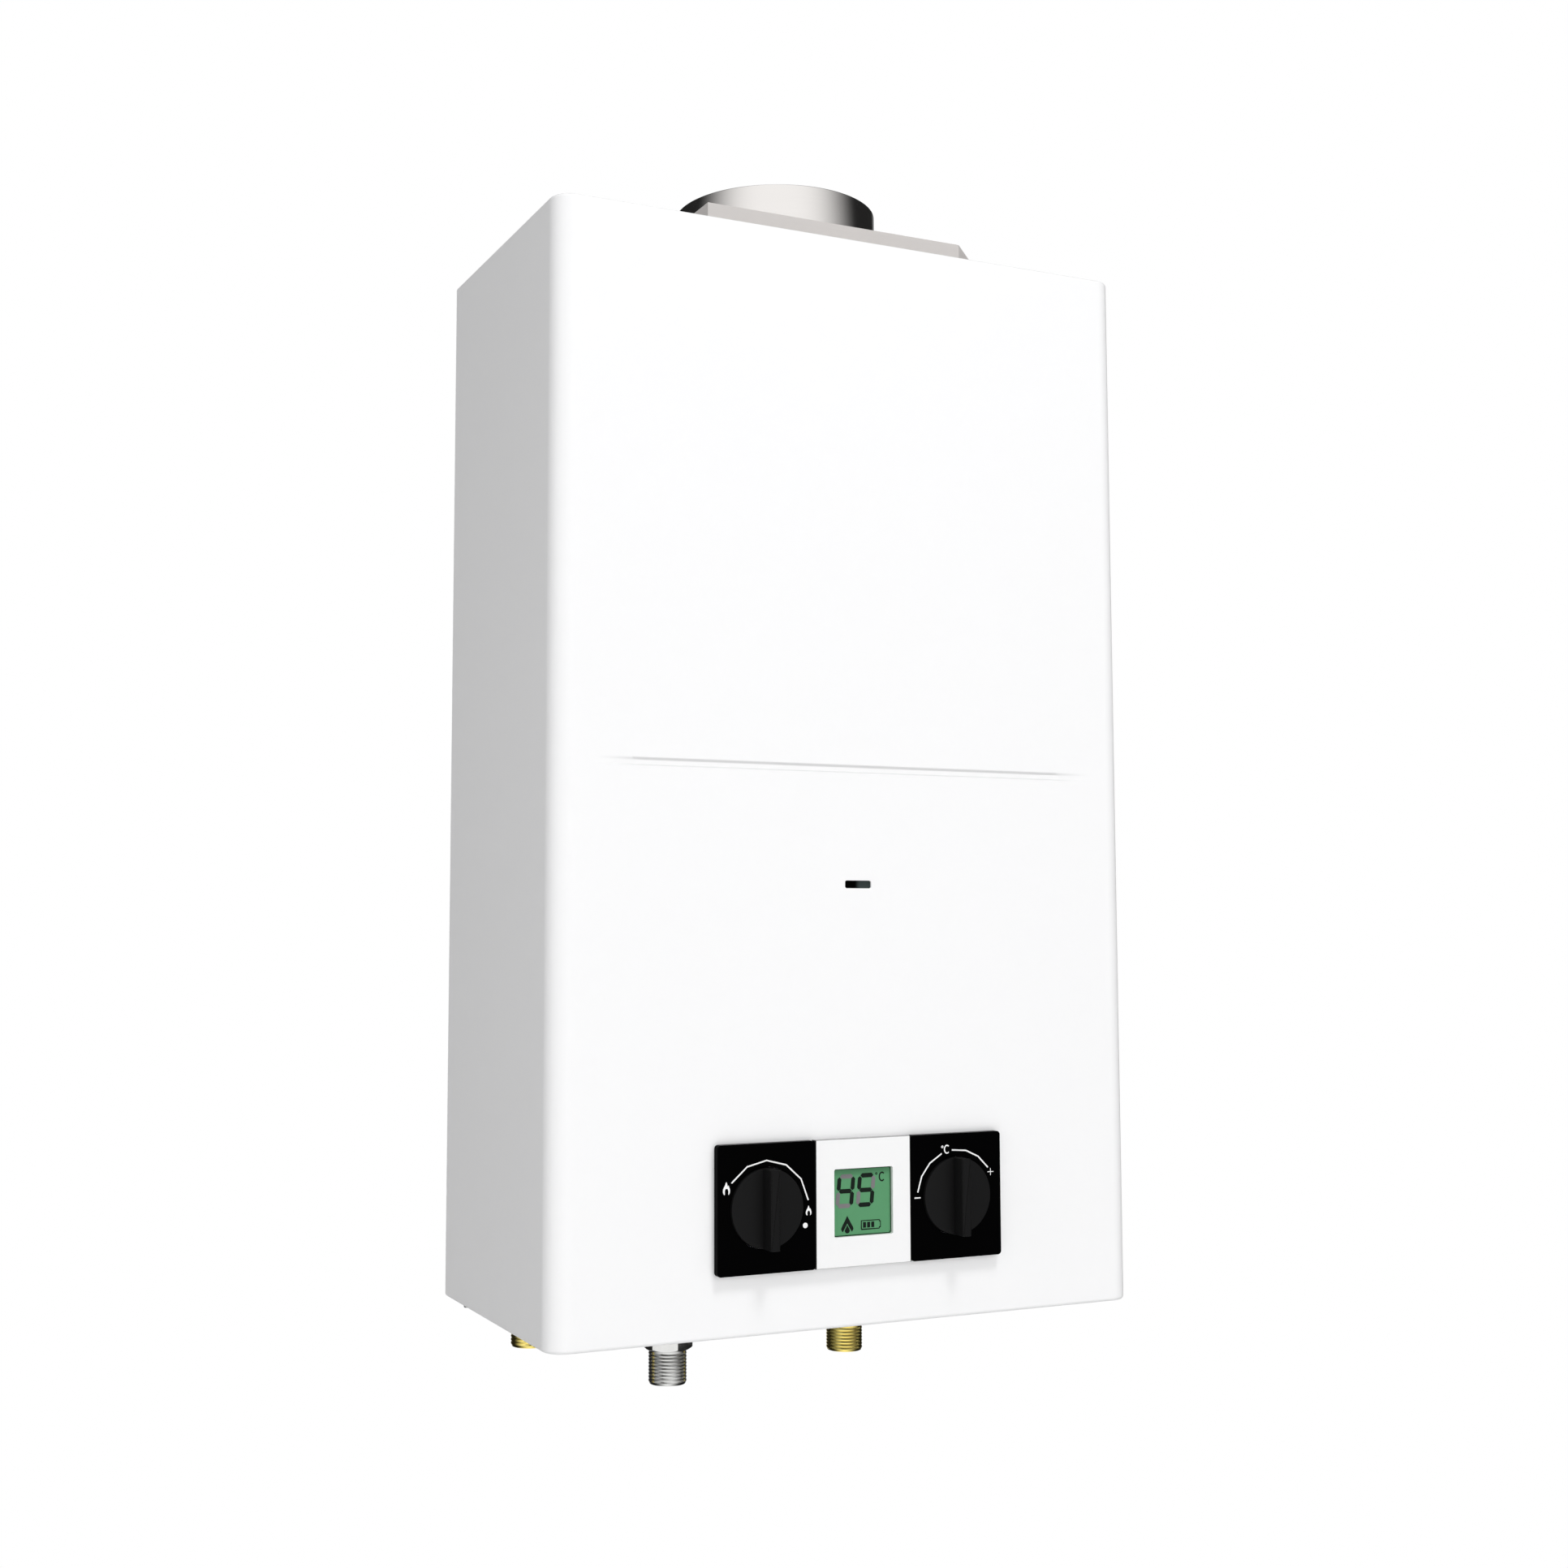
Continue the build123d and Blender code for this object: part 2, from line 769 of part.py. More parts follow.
def gas_tap_plug():
    """The round plug that the gas knob turns, with the port through it."""
    x = -dial_offset
    back = tap_plug_front + tap_plug_length
    plug = rod((x, tap_plug_front, panel_height), (x, back, panel_height), tap_plug_radius)
    port_y = (tap_plug_front + back) / 2
    port = rod((x, port_y, panel_height), (x - tap_plug_radius - 1, port_y, panel_height), 4.0)
    bore = rod((x, port_y - 6, panel_height), (x, back + 1, panel_height), 4.5)
    return plug - port - bore


def temperature_spindle():
    """The temperature knob's spindle with the needle that throttles the water."""
    x = dial_offset
    stem_end = water_front_y + needle_length
    needle = turned(
        Plane(origin=(x, stem_end, panel_height), z_dir=(0, 1, 0)),
        (0, 0),
        (spindle_radius - 0.8, 0),
        (1.2, 8),
        (0, 8),
    )
    return spindle(1, stem_end) + needle


def fitting(x, y, drop, thread_length, top):
    """A threaded connection under the casing: thread, hexagon and the neck up to the part it feeds."""
    thread_top = thread_length - drop
    hex_top = min(bracket_bottom, thread_top + fitting_hex_tall)
    stub = turned(
        Plane(origin=(x, y, 0)),
        (0, -drop),
        (thread_radius - 1, -drop),
        (thread_radius, 1 - drop),
        (thread_radius, thread_top),
        (neck_radius, thread_top),
        (neck_radius, top),
        (0, top),
    )
    stub += Pos(x, y, thread_top) * extrude(Rot(0, 0, 30) * hexagon(fitting_hex), amount=hex_top - thread_top)
    return stub - rod((x, y, -drop - 1), (x, y, top + 1), fitting_bore)


def gas_inlet_fitting():
    """The gas connection, screwed into the underside of the gas valve."""
    return fitting(
        gas_inlet_x, gas_inlet_y, gas_inlet_drop, gas_thread_length, gas_block_bottom + socket_depth
    )


def cold_inlet_fitting():
    """The cold water connection, screwed into the underside of the water valve."""
    return fitting(
        cold_inlet_x,
        cold_inlet_y,
        cold_inlet_drop,
        water_thread_length,
        water_block_bottom + socket_depth,
    )


def hot_outlet_fitting():
    """The hot water connection, held by the lower bracket, with a socket for the hot pipe."""
    top = bracket_top + 2 * socket_depth
    piece = fitting(hot_outlet_x, hot_outlet_y, hot_outlet_drop, water_thread_length, top)
    socket = rod(
        (hot_outlet_x, hot_outlet_y, top - socket_depth),
        (hot_outlet_x, hot_outlet_y, top + 1),
        coil_radius + seat_gap,
    )
    return piece - socket


def fitting_locknuts():
    """The flat nuts that clamp the three fittings to the lower bracket."""
    nuts = []
    for x, y in ((gas_inlet_x, gas_inlet_y), (cold_inlet_x, cold_inlet_y), (hot_outlet_x, hot_outlet_y)):
        nut = hexagon(nut_hex) - Circle(neck_radius + seat_gap)
        nuts.append(Pos(x, y, bracket_top) * extrude(nut, amount=locknut_tall))
    return group(nuts)


def gas_valve_body():
    """The cast gas valve: a cored block with sockets for the inlet, the tap plug and the outlet pipe."""
    width = gas_block_right - gas_block_left
    tall = gas_block_top - gas_block_bottom
    middle = Pos((gas_block_left + gas_block_right) / 2, (gas_block_bottom + gas_block_top) / 2)
    body = extrude(front_plane(gas_back_y) * (middle * Rectangle(width, tall)), amount=gas_block_depth)
    body = fillet(body.edges().filter_by(Axis.Y), block_corner)
    body += rod(
        (gas_inlet_x, gas_inlet_y, gas_block_bottom - 6),
        (gas_inlet_x, gas_inlet_y, gas_block_bottom + 2),
        neck_radius + 5,
    )
    body += rod(
        (gas_outlet_x, gas_outlet_y, gas_block_top - 2),
        (gas_outlet_x, gas_outlet_y, gas_block_top + 6),
        11,
    )
    x = -dial_offset
    plug_back = tap_plug_front + tap_plug_length
    body -= rod(
        (x, gas_front_y - 1, panel_height),
        (x, plug_back + fit_gap, panel_height),
        tap_plug_radius + running_gap,
    )
    inlet_top = gas_block_bottom + socket_depth
    body -= rod(
        (gas_inlet_x, gas_inlet_y, gas_block_bottom - 7),
        (gas_inlet_x, gas_inlet_y, inlet_top),
        neck_radius + seat_gap,
    )
    body -= rod(
        (gas_inlet_x, gas_inlet_y, inlet_top - 1),
        (gas_inlet_x, gas_inlet_y, panel_height + 4),
        fitting_bore,
    )
    body -= rod((gas_inlet_x, valve_y, panel_height), (x, valve_y, panel_height), 4.0)
    outlet_floor = gas_block_top - 2
    body -= rod(
        (gas_outlet_x, gas_outlet_y, outlet_floor),
        (gas_outlet_x, gas_outlet_y, gas_block_top + 7),
        gas_pipe_radius + seat_gap,
    )
    body -= rod(
        (gas_outlet_x, gas_outlet_y, panel_height + 20),
        (gas_outlet_x, gas_outlet_y, outlet_floor + 1),
        5,
    )
    body -= rod(
        (gas_block_right - rod_entry, valve_y, linkage_height),
        (gas_block_right + 1, valve_y, linkage_height),
        rod_radius + running_gap,
    )
    for y, z in gas_cover_screws():
        body -= rod((gas_block_left - 1, y, z), (gas_block_left + 8, y, z), screw_radius + seat_gap)
    return body


def gas_cover_screws():
    """The four screws of the gas valve's side cover."""
    y = gas_block_depth / 2 - cover_screw_inset
    z = (gas_block_top - gas_block_bottom) / 2 - cover_screw_inset
    middle = (gas_block_top + gas_block_bottom) / 2
    return [(valve_y + sy * y, middle + sz * z) for sy in (-1, 1) for sz in (-1, 1)]


def gas_valve_cover():
    """The side cover over the gas regulator, with its domed middle."""
    tall = gas_block_top - gas_block_bottom - 2
    middle = (gas_block_top + gas_block_bottom) / 2
    plate = Pos(valve_y, middle) * RectangleRounded(gas_block_depth - 2, tall, 6)
    for y, z in gas_cover_screws():
        plate -= Pos(y, z) * Circle(screw_radius + seat_gap)
    cover = extrude(side_plane(gas_block_left - cover_thickness) * plate, amount=cover_thickness)
    dome = turned(
        Plane(origin=(gas_block_left - cover_thickness, valve_y, middle), z_dir=(-1, 0, 0)),
        (0, 0),
        (17, 0),
        (14, 6),
        (5, 9),
        (0, 9),
    )
    return cover + dome


def tap_bonnet():
    """The flanged neck that holds the tap plug in the gas valve."""
    x = -dial_offset
    place = Plane(origin=(x, gas_front_y, panel_height), z_dir=(0, -1, 0))
    return turned(
        place,
        (spindle_radius + running_gap, 0),
        (tap_boss_radius, 0),
        (tap_boss_radius, 4),
        (tap_boss_radius - 5, 6),
        (tap_boss_radius - 6, tap_boss_length),
        (spindle_radius + running_gap, tap_boss_length),
    )


def solenoid():
    """The safety solenoid on top of the gas valve: a wound coil in its yoke, bored for the plunger."""
    place = Plane(origin=(solenoid_x, valve_y + 6, gas_block_top))
    body = turned(
        place,
        (plunger_radius + running_gap, 0),
        (solenoid_radius, 0),
        (solenoid_radius, 3),
        (solenoid_radius - 2, 3),
        (solenoid_radius - 2, solenoid_height - 3),
        (solenoid_radius, solenoid_height - 3),
        (solenoid_radius, solenoid_height),
        (0, solenoid_height),
        (0, solenoid_height - 4),
        (plunger_radius + running_gap, solenoid_height - 4),
    )
    return body


def solenoid_plunger():
    """The iron plunger that lifts the safety valve."""
    bottom = gas_block_top + fit_gap
    return rod(
        (solenoid_x, valve_y + 6, bottom), (solenoid_x, valve_y + 6, bottom + plunger_length), plunger_radius
    )


def gas_pipe():
    """The tube that takes the gas from the valve up to the burner's manifold."""
    start = gas_block_top
    run = manifold_bottom - gas_pipe_bend - 11
    points = [
        (gas_outlet_x, gas_outlet_y, start),
        (gas_outlet_x, gas_outlet_y, run),
        (gas_outlet_x, manifold_y, run),
        (gas_outlet_x, manifold_y, manifold_bottom),
    ]
    return pipe(points, gas_pipe_bend, gas_pipe_radius, gas_pipe_radius - 1)


def blade_places():
    """The burner blades' middles across the heater."""
    return [(i - (blade_count - 1) / 2) * blade_pitch for i in range(blade_count)]


def gas_manifold():
    """The bar that shares the gas out to the injectors, with a foot at each end on the burner tray."""
    half = blade_count * blade_pitch / 2 + 4
    back = manifold_y + manifold_depth / 2
    section = Pos(manifold_y, venturi_z) * RectangleRounded(manifold_depth, manifold_tall, 2.5)
    bar = extrude(side_plane(-half) * section, amount=2 * half)
    hollow = Pos(manifold_y, venturi_z) * Rectangle(manifold_depth - 4, manifold_tall - 4)
    bar -= extrude(side_plane(-half + 2) * hollow, amount=2 * half - 4)
    for x in blade_places():
        bar -= rod((x, manifold_y, venturi_z), (x, back + 1, venturi_z), injector_neck + seat_gap)
    bar -= rod(
        (gas_outlet_x, manifold_y, manifold_bottom - 1),
        (gas_outlet_x, manifold_y, venturi_z),
        gas_pipe_radius - 1,
    )
    for side in (-1, 1):
        foot = sorted((side * half, side * (half - 3)))
        bar += block(foot, (back - 3, shell_front_y), (venturi_z - 6, venturi_z + 6))
    return bar


def gas_injectors():
    """The brass jets along the manifold, one for each blade."""
    back = manifold_y + manifold_depth / 2
    jets = []
    for x in blade_places():
        place = Plane(origin=(x, back, venturi_z), z_dir=(0, 1, 0))
        nose = turned(
            place,
            (injector_hole, -2),
            (injector_neck, -2),
            (injector_neck, 0.5),
            (injector_radius, 0.5),
            (injector_radius, injector_nose - 2),
            (injector_hole, injector_nose),
        )
        jets.append(nose + place * extrude(hexagon(injector_hex) - Circle(injector_hole), amount=3))
    return group(jets)


def duct_plan(inset):
    """The outline shared by the burner tray and the combustion shell, drawn in by an inset."""
    outline = RectangleRounded(2 * (shell_half - inset), shell_depth - 2 * inset, shell_corner - inset)
    return Pos(0, shell_mid_y) * outline


def burner_tray():
    """The open frame round the burner, with a row of mouth holes along its front."""
    tray = extrude(level(burner_bottom) * (duct_plan(0) - duct_plan(tray_sheet)), amount=burner_tall)
    for x in blade_places():
        tray -= rod(
            (x, shell_front_y - 1, venturi_z),
            (x, shell_front_y + 2, venturi_z),
            venturi_mouth + fit_gap,
        )
    return tray


def burner_blade(x):
    """One burner blade: a pressed web, a flared mixing tube low down and a slotted head on top."""
    front = shell_front_y + tray_sheet + fit_gap
    back = shell_back_y - tray_sheet - fit_gap
    head_bottom = burner_top - blade_head_tall - 1
    web = make_face(
        Polyline(
            (front, venturi_z - 2),
            (back, venturi_z - 2),
            (back, head_bottom + 1),
            (front, head_bottom + 1),
            close=True,
        )
    )
    web = fillet(web.vertices().group_by(Axis.Y)[0].sort_by(Axis.X)[-1:], 16)
    blade = extrude(side_plane(x - blade_web / 2) * web, amount=blade_web)
    length = back - front
    blade += turned(
        Plane(origin=(x, front, venturi_z), z_dir=(0, 1, 0)),
        (0, 12),
        (venturi_throat - 1, 12),
        (venturi_mouth - 1, 0),
        (venturi_mouth, 0),
        (venturi_throat, 14),
        (venturi_throat + 1, length * 0.8),
        (0, length * 0.8),
    )
    middle = Pos(x, head_bottom + blade_head_tall / 2)
    head = extrude(front_plane(back) * (middle * Rectangle(blade_head_width, blade_head_tall)), amount=length)
    for i in range(blade_slots):
        y = front + (i + 0.5) * length / blade_slots
        head -= block(
            (x - blade_head_width, x + blade_head_width),
            (y - blade_slot_width / 2, y + blade_slot_width / 2),
            (head_bottom + blade_head_tall / 2, burner_top + 1),
        )
    return blade + head


def burner_blades():
    """The pack of blades in the burner tray."""
    return group(burner_blade(x) for x in blade_places())


def combustion_shell():
    """The copper shell over the burner, with a sight hole, electrode holes and holes for the fin tubes."""
    shell = extrude(
        level(burner_top) * (duct_plan(0) - duct_plan(shell_sheet)), amount=shell_top - burner_top
    )
    shell += extrude(
        level(shell_top - shell_sheet) * (duct_plan(-shell_flange) - duct_plan(shell_sheet)),
        amount=shell_sheet,
    )
    hole = Pos(0, window_height) * SlotOverall(sight_hole_width, sight_hole_tall)
    shell -= extrude(front_plane(shell_front_y + 2) * hole, amount=4)
    for x in (spark_x, flame_x):
        shell -= rod(
            (x, shell_front_y - 1, electrode_z),
            (x, shell_front_y + 2, electrode_z),
            electrode_radius + fit_gap,
        )
    for y in fin_tube_places():
        shell -= rod((-shell_half - 1, y, fin_mid), (shell_half + 1, y, fin_mid), coil_radius + seat_gap)
    return shell


def fin_tube_places():
    """Where the three straight tubes run through the fins, from the back to the front."""
    return [shell_mid_y + i * fin_tube_pitch for i in (1, 0, -1)]


def exchanger_fins():
    """The stack of copper fins across the top of the shell, each with three collared tube holes."""
    plate = Pos(shell_mid_y, fin_mid) * Rectangle(shell_depth - 2 * shell_sheet - 2 * fit_gap, fin_tall)
    for y in fin_tube_places():
        plate -= Pos(y, fin_mid) * Circle(coil_radius + seat_gap)
    span = 2 * (shell_half - shell_corner) - fin_thickness
    step = span / (fin_count - 1)
    return group(
        extrude(side_plane(-span / 2 + i * step - fin_thickness / 2) * plate, amount=fin_thickness)
        for i in range(fin_count)
    )


def exchanger_coil():
    """One unbroken copper tube: two climbing turns round the shell, then three passes through the fins."""
    back_y, middle_y, forward_y = fin_tube_places()
    second = coil_first_height + coil_pitch
    third = second + coil_pitch
    points = [
        (coil_x, coil_start_y, feed_joint),
        (coil_x, coil_start_y, coil_first_height),
        (coil_x, coil_front_y, coil_first_height),
        (-coil_x, coil_front_y, coil_first_height),
        (-coil_x, coil_back_y, coil_first_height),
        (coil_x, coil_back_y, second),
        (coil_x, coil_front_y, second),
        (-coil_x, coil_front_y, second),
        (-coil_x, coil_back_y, second),
        (return_x, coil_back_y, third),
        (return_x, back_y, fin_mid),
        (-return_x, back_y, fin_mid),
        (-return_x, middle_y, fin_mid),
        (return_x, middle_y, fin_mid),
        (return_x, forward_y, fin_mid),
        (hot_outlet_x, forward_y, fin_mid),
        (hot_outlet_x, forward_y, hot_joint),
    ]
    bends = [coil_bend] * 8 + [return_bend] * 7
    return pipe(points, bends, coil_radius)


def cold_feed_pipe():
    """The tube from the water valve's outlet up to the exchanger's coil."""
    points = [
        (feed_x, feed_y, water_block_top - socket_depth + fit_gap),
        (feed_x, feed_y, water_block_top + feed_rise),
        (coil_x, coil_start_y, feed_joint - nut_tall / 2 - feed_pipe_bend),
        (coil_x, coil_start_y, feed_joint),
    ]
    return pipe(points, feed_pipe_bend, coil_radius, coil_radius - pipe_wall)


def hot_pipe():
    """The tube from the exchanger down to the hot water fitting."""
    forward_y = fin_tube_places()[-1]
    points = [
        (hot_outlet_x, forward_y, hot_joint),
        (hot_outlet_x, forward_y, hot_offset_top),
        (hot_outlet_x, hot_outlet_y, hot_offset_bottom),
        (hot_outlet_x, hot_outlet_y, bracket_top + socket_depth),
    ]
    return pipe(points, hot_pipe_bend, coil_radius, coil_radius - pipe_wall)


def union_nuts():
    """The hexagon nuts round the two joints between the coil and its pipes."""
    nut = extrude(hexagon(nut_hex) - Circle(coil_radius + seat_gap), amount=nut_tall)
    nut = Pos(0, 0, -nut_tall / 2) * nut
    return group(
        Pos(x, y, z) * nut
        for x, y, z in ((coil_x, coil_start_y, feed_joint), (hot_outlet_x, fin_tube_places()[-1], hot_joint))
    )


def support_rails():
    """The two channels that carry the burner and the shell off the back plate."""
    def rail(top):
        section = Pos((shell_back_y + plate_y) / 2, top - rail_tall / 2) * Rectangle(rail_depth, rail_tall)
        section -= Pos((shell_back_y + plate_y) / 2, top - rail_tall / 2 - rail_sheet) * Rectangle(
            rail_depth - 2 * rail_sheet, rail_tall
        )
        return extrude(side_plane(-shell_half + rail_end) * section, amount=2 * (shell_half - rail_end))

    return group(rail(top) for top in (burner_top + rail_lift + rail_tall, fin_mid + rail_tall / 2))


def water_valve_body():
    """The brass water valve: a cored block with the lower half of the diaphragm chamber on its left."""
    width = water_block_right - chamber_right + 4
    tall = water_block_top - water_block_bottom
    middle = Pos((water_block_right + chamber_right - 4) / 2, (water_block_bottom + water_block_top) / 2)
    body = extrude(
        front_plane(water_back_y) * (middle * Rectangle(width, tall)),
        amount=water_back_y - water_front_y,
    )
    body = fillet(body.edges().filter_by(Axis.Y), block_corner)
    chamber = Plane(origin=(diaphragm_x + diaphragm_thickness, valve_y, linkage_height), z_dir=(1, 0, 0))
    body += turned(
        chamber,
        (0, 0),
        (chamber_radius, 0),
        (chamber_radius, 6),
        (chamber_radius - 6, chamber_body),
        (0, chamber_body),
    )
    cavity = chamber_radius - chamber_rim
    body -= turned(
        chamber,
        (0, -1),
        (cavity, -1),
        (cavity, 4),
        (cavity - 4, chamber_body - 5),
        (0, chamber_body - 5),
    )
    socket_top = water_block_bottom + socket_depth
    body -= rod(
        (cold_inlet_x, cold_inlet_y, 0),
        (cold_inlet_x, cold_inlet_y, socket_top),
        neck_radius + seat_gap,
    )
    body -= rod(
        (cold_inlet_x, cold_inlet_y, socket_top - 1),
        (cold_inlet_x, cold_inlet_y, panel_height + 6),
        fitting_bore,
    )
    body -= rod(
        (feed_x, feed_y, water_block_top - socket_depth),
        (feed_x, feed_y, water_block_top + 1),
        coil_radius + seat_gap,
    )
    body -= rod(
        (feed_x, feed_y, panel_height - 4),
        (feed_x, feed_y, water_block_top),
        coil_radius - pipe_wall,
    )
    channel_y = (cold_inlet_y + feed_y) / 2
    body -= rod((cold_inlet_x, channel_y, panel_height), (feed_x, channel_y, panel_height), 4.5)
    body -= rod((diaphragm_x + 6, channel_y, linkage_height), (cold_inlet_x, channel_y, linkage_height), 2.5)
    stem_end = water_front_y + needle_length
    body -= rod(
        (dial_offset, water_front_y - 1, panel_height),
        (dial_offset, stem_end + fit_gap, panel_height),
        spindle_radius + running_gap,
    )
    body -= rod((dial_offset, stem_end, panel_height), (dial_offset, channel_y, panel_height), 3.4)
    for y, z in chamber_screws():
        body -= rod((diaphragm_x - 1, y, z), (diaphragm_x + 12, y, z), screw_radius + seat_gap)
    return body


def chamber_screws():
    """The ring of six screws that clamps the diaphragm."""
    ring = chamber_radius - chamber_rim / 2
    return [
        (valve_y + ring * cos(radians(30 + 60 * i)), linkage_height + ring * sin(radians(30 + 60 * i)))
        for i in range(6)
    ]


def water_valve_cover():
    """The outer half of the diaphragm chamber, with the gland that the linkage rod slides in."""
    place = Plane(origin=(diaphragm_x, valve_y, linkage_height), z_dir=(-1, 0, 0))
    cavity = chamber_radius - chamber_rim
    bore = rod_radius + running_gap
    cover = turned(
        place,
        (cavity, 0),
        (chamber_radius, 0),
        (chamber_radius, 5),
        (cavity + 0.5, 5),
        (cavity - 1, chamber_cover),
        (gland_radius, chamber_cover),
        (gland_radius, chamber_cover + gland_length),
        (bore, chamber_cover + gland_length),
        (bore, chamber_cover - 2),
        (cavity - 3, chamber_cover - 2),
        (cavity, 3),
    )
    for y, z in chamber_screws():
        cover -= rod((chamber_left - 1, y, z), (diaphragm_x + 1, y, z), screw_radius + seat_gap)
    return cover


def diaphragm():
    """The rubber disc clamped between the two halves of the chamber, with its rolled bead."""
    place = Plane(origin=(diaphragm_x, valve_y, linkage_height), z_dir=(1, 0, 0))
    disc = turned(
        place,
        (0, 0),
        (chamber_radius - 1, 0),
        (chamber_radius - 1, diaphragm_thickness),
        (0, diaphragm_thickness),
    )
    for y, z in chamber_screws():
        disc -= rod((diaphragm_x - 1, y, z), (diaphragm_x + 3, y, z), screw_radius + seat_gap)
    return disc


def chamber_screw_heads():
    """The six screws of the diaphragm chamber and the four of the gas valve's cover."""
    chamber = [
        screw(Plane(origin=(diaphragm_x - 5, y, z), z_dir=(-1, 0, 0)), 5 + diaphragm_thickness + 6)
        for y, z in chamber_screws()
    ]
    cover = [
        screw(Plane(origin=(gas_block_left - cover_thickness, y, z), z_dir=(-1, 0, 0)), cover_thickness + 7)
        for y, z in gas_cover_screws()
    ]
    return group(chamber + cover)


def linkage_rod():
    """The rod that the diaphragm pushes: its plate, its collar for the switch and the gas valve's end."""
    tip = rod_entry - linkage_travel - 2
    place = Plane(origin=(gas_block_right - tip, valve_y, linkage_height), z_dir=(1, 0, 0))
    start = gas_block_right - tip
    collar = rod_collar_x - start
    plate = diaphragm_x - fit_gap - start
    return turned(
        place,
        (0, 0),
        (rod_radius, 0),
        (rod_radius, collar - rod_collar_length / 2),
        (rod_collar_radius, collar - rod_collar_length / 2),
        (rod_collar_radius, collar + rod_collar_length / 2),
        (rod_radius, collar + rod_collar_length / 2),
        (rod_radius, plate - 2),
        (chamber_radius * 0.6, plate - 2),
        (chamber_radius * 0.6, plate),
        (0, plate),
    )


def selector_gland():
    """The gland nut round the temperature spindle on the front of the water valve."""
    place = Plane(origin=(dial_offset, water_front_y, panel_height), x_dir=(1, 0, 0), z_dir=(0, -1, 0))
    bore = Circle(spindle_radius + running_gap)
    nut = extrude(hexagon(17) - bore, amount=7)
    neck = Pos(0, 0, 7) * extrude(Circle(7) - bore, amount=6)
    return place * (nut + neck)


def water_filter():
    """The little strainer basket inside the cold water fitting."""
    top = water_block_bottom + socket_depth
    return turned(
        Plane(origin=(cold_inlet_x, cold_inlet_y, top - filter_length)),
        (filter_radius - 2, 0),
        (filter_radius - 1, 0),
        (filter_radius, filter_length),
        (filter_radius - 1, filter_length),
    )


def microswitch():
    """The switch on the side of the gas valve, with two ears for its lever's pin."""
    low = lever_pivot_z - switch_drop
    body = block(
        (gas_block_right, lever_x - switch_nose),
        (valve_y - switch_depth / 2, valve_y + switch_depth / 2),
        (low, low + switch_tall),
    )
    body = fillet(body.edges().filter_by(Axis.Y), 0.8)
    for side in (-1, 1):
        outer = valve_y + side * switch_depth / 2
        inner = valve_y + side * (lever_width / 2 + fit_gap)
        body += block(
            (lever_x - switch_nose - 1, lever_x + 2.2),
            sorted((outer, inner)),
            (lever_pivot_z - 2.2, lever_pivot_z + 2.2),
        )
    pin = rod(
        (lever_x, valve_y - switch_depth, lever_pivot_z),
        (lever_x, valve_y + switch_depth, lever_pivot_z),
        lever_pin_radius + running_gap,
    )
    return body - pin


def microswitch_lever():
    """The sprung lever that the rod's collar pushes, on its pin."""
    thick = lever_thickness / 2
    blade = block(
        (lever_x - thick, lever_x + thick),
        (valve_y - lever_width / 2, valve_y + lever_width / 2),
        (lever_pivot_z - lever_length, lever_pivot_z + 1.4),
    )
    return blade + rod(
        (lever_x, valve_y - switch_depth / 2, lever_pivot_z),
        (lever_x, valve_y + switch_depth / 2, lever_pivot_z),
        lever_pin_radius,
    )


def electrode(x):
    """A ceramic electrode through the shell's front wall, its wire bent down to the burner."""
    front = shell_front_y - electrode_length * 0.6
    return turned(
        Plane(origin=(x, front, electrode_z), z_dir=(0, 1, 0)),
        (0, 0),
        (electrode_radius - 1, 0),
        (electrode_radius - 1, electrode_length * 0.35),
        (electrode_radius, electrode_length * 0.35),
        (electrode_radius, electrode_length * 0.85),
        (electrode_radius - 1.5, electrode_length),
        (0, electrode_length),
    )


def electrode_wire_path(x):
    """The bent wire from the ceramic's end down to just above the blades."""
    start = shell_front_y + electrode_length * 0.4
    points = [
        (x, start, electrode_z),
        (x, start + 16, electrode_z),
        (x, start + 20, burner_top + electrode_wire + 0.4),
    ]
    return pipe(points, 2.5, electrode_wire)


def electrodes():
    """The electrode that lights the gas and the one that senses the flame."""
    return group(electrode(x) + electrode_wire_path(x) for x in (spark_x, flame_x))


def electrode_brackets():
    """The plates that hold the electrodes' collars on the shell's front wall."""
    clamp = RectangleRounded(clamp_width, clamp_tall, 2) - Circle(electrode_radius + seat_gap)
    return group(
        extrude(front_plane(shell_front_y) * (Pos(x, electrode_z) * clamp), amount=clamp_sheet)
        for x in (spark_x, flame_x)
    )


def disc_thermostat(place):
    """A round bimetal thermostat with its flange and two blade terminals."""
    body = turned(
        place,
        (0, 0),
        (thermostat_radius + 1.5, 0),
        (thermostat_radius + 1.5, 1),
        (thermostat_radius, 1),
        (thermostat_radius, thermostat_height),
        (0, thermostat_height),
    )
    for side in (-1, 1):
        body += place * (Pos(side * 4, 0, thermostat_height + 2.5) * Box(0.8, 5, 7))
    return body


def overheat_thermostat():
    """The thermostat on the front of the shell that cuts the burner if the exchanger boils."""
    return disc_thermostat(
        Plane(origin=(shell_half * 0.6, shell_front_y, shell_top - thermostat_drop), z_dir=(0, -1, 0)),
    )


def flue_gas_thermostat():
    """The thermostat on the hood's side that cuts the burner if flue gas spills out."""
    place = Plane(origin=(-chamber_half_width, -hood_front / 2, hood_bottom + 30), z_dir=(-1, 0, 0))
    return disc_thermostat(place)


def outlet_temperature_sensor():
    """The sensor clipped round the hot pipe."""
    y = fin_tube_places()[-1]
    ring = Circle(coil_radius + 1.2) - Circle(coil_radius + seat_gap)
    clip = Pos(hot_outlet_x, y, sensor_height) * extrude(ring, amount=9)
    pocket = block(
        (hot_outlet_x + coil_radius + 0.8, hot_outlet_x + coil_radius + 7),
        (y - 3, y + 3),
        (sensor_height, sensor_height + 9),
    )
    return clip + fillet(pocket.edges().filter_by(Axis.Z), 1)


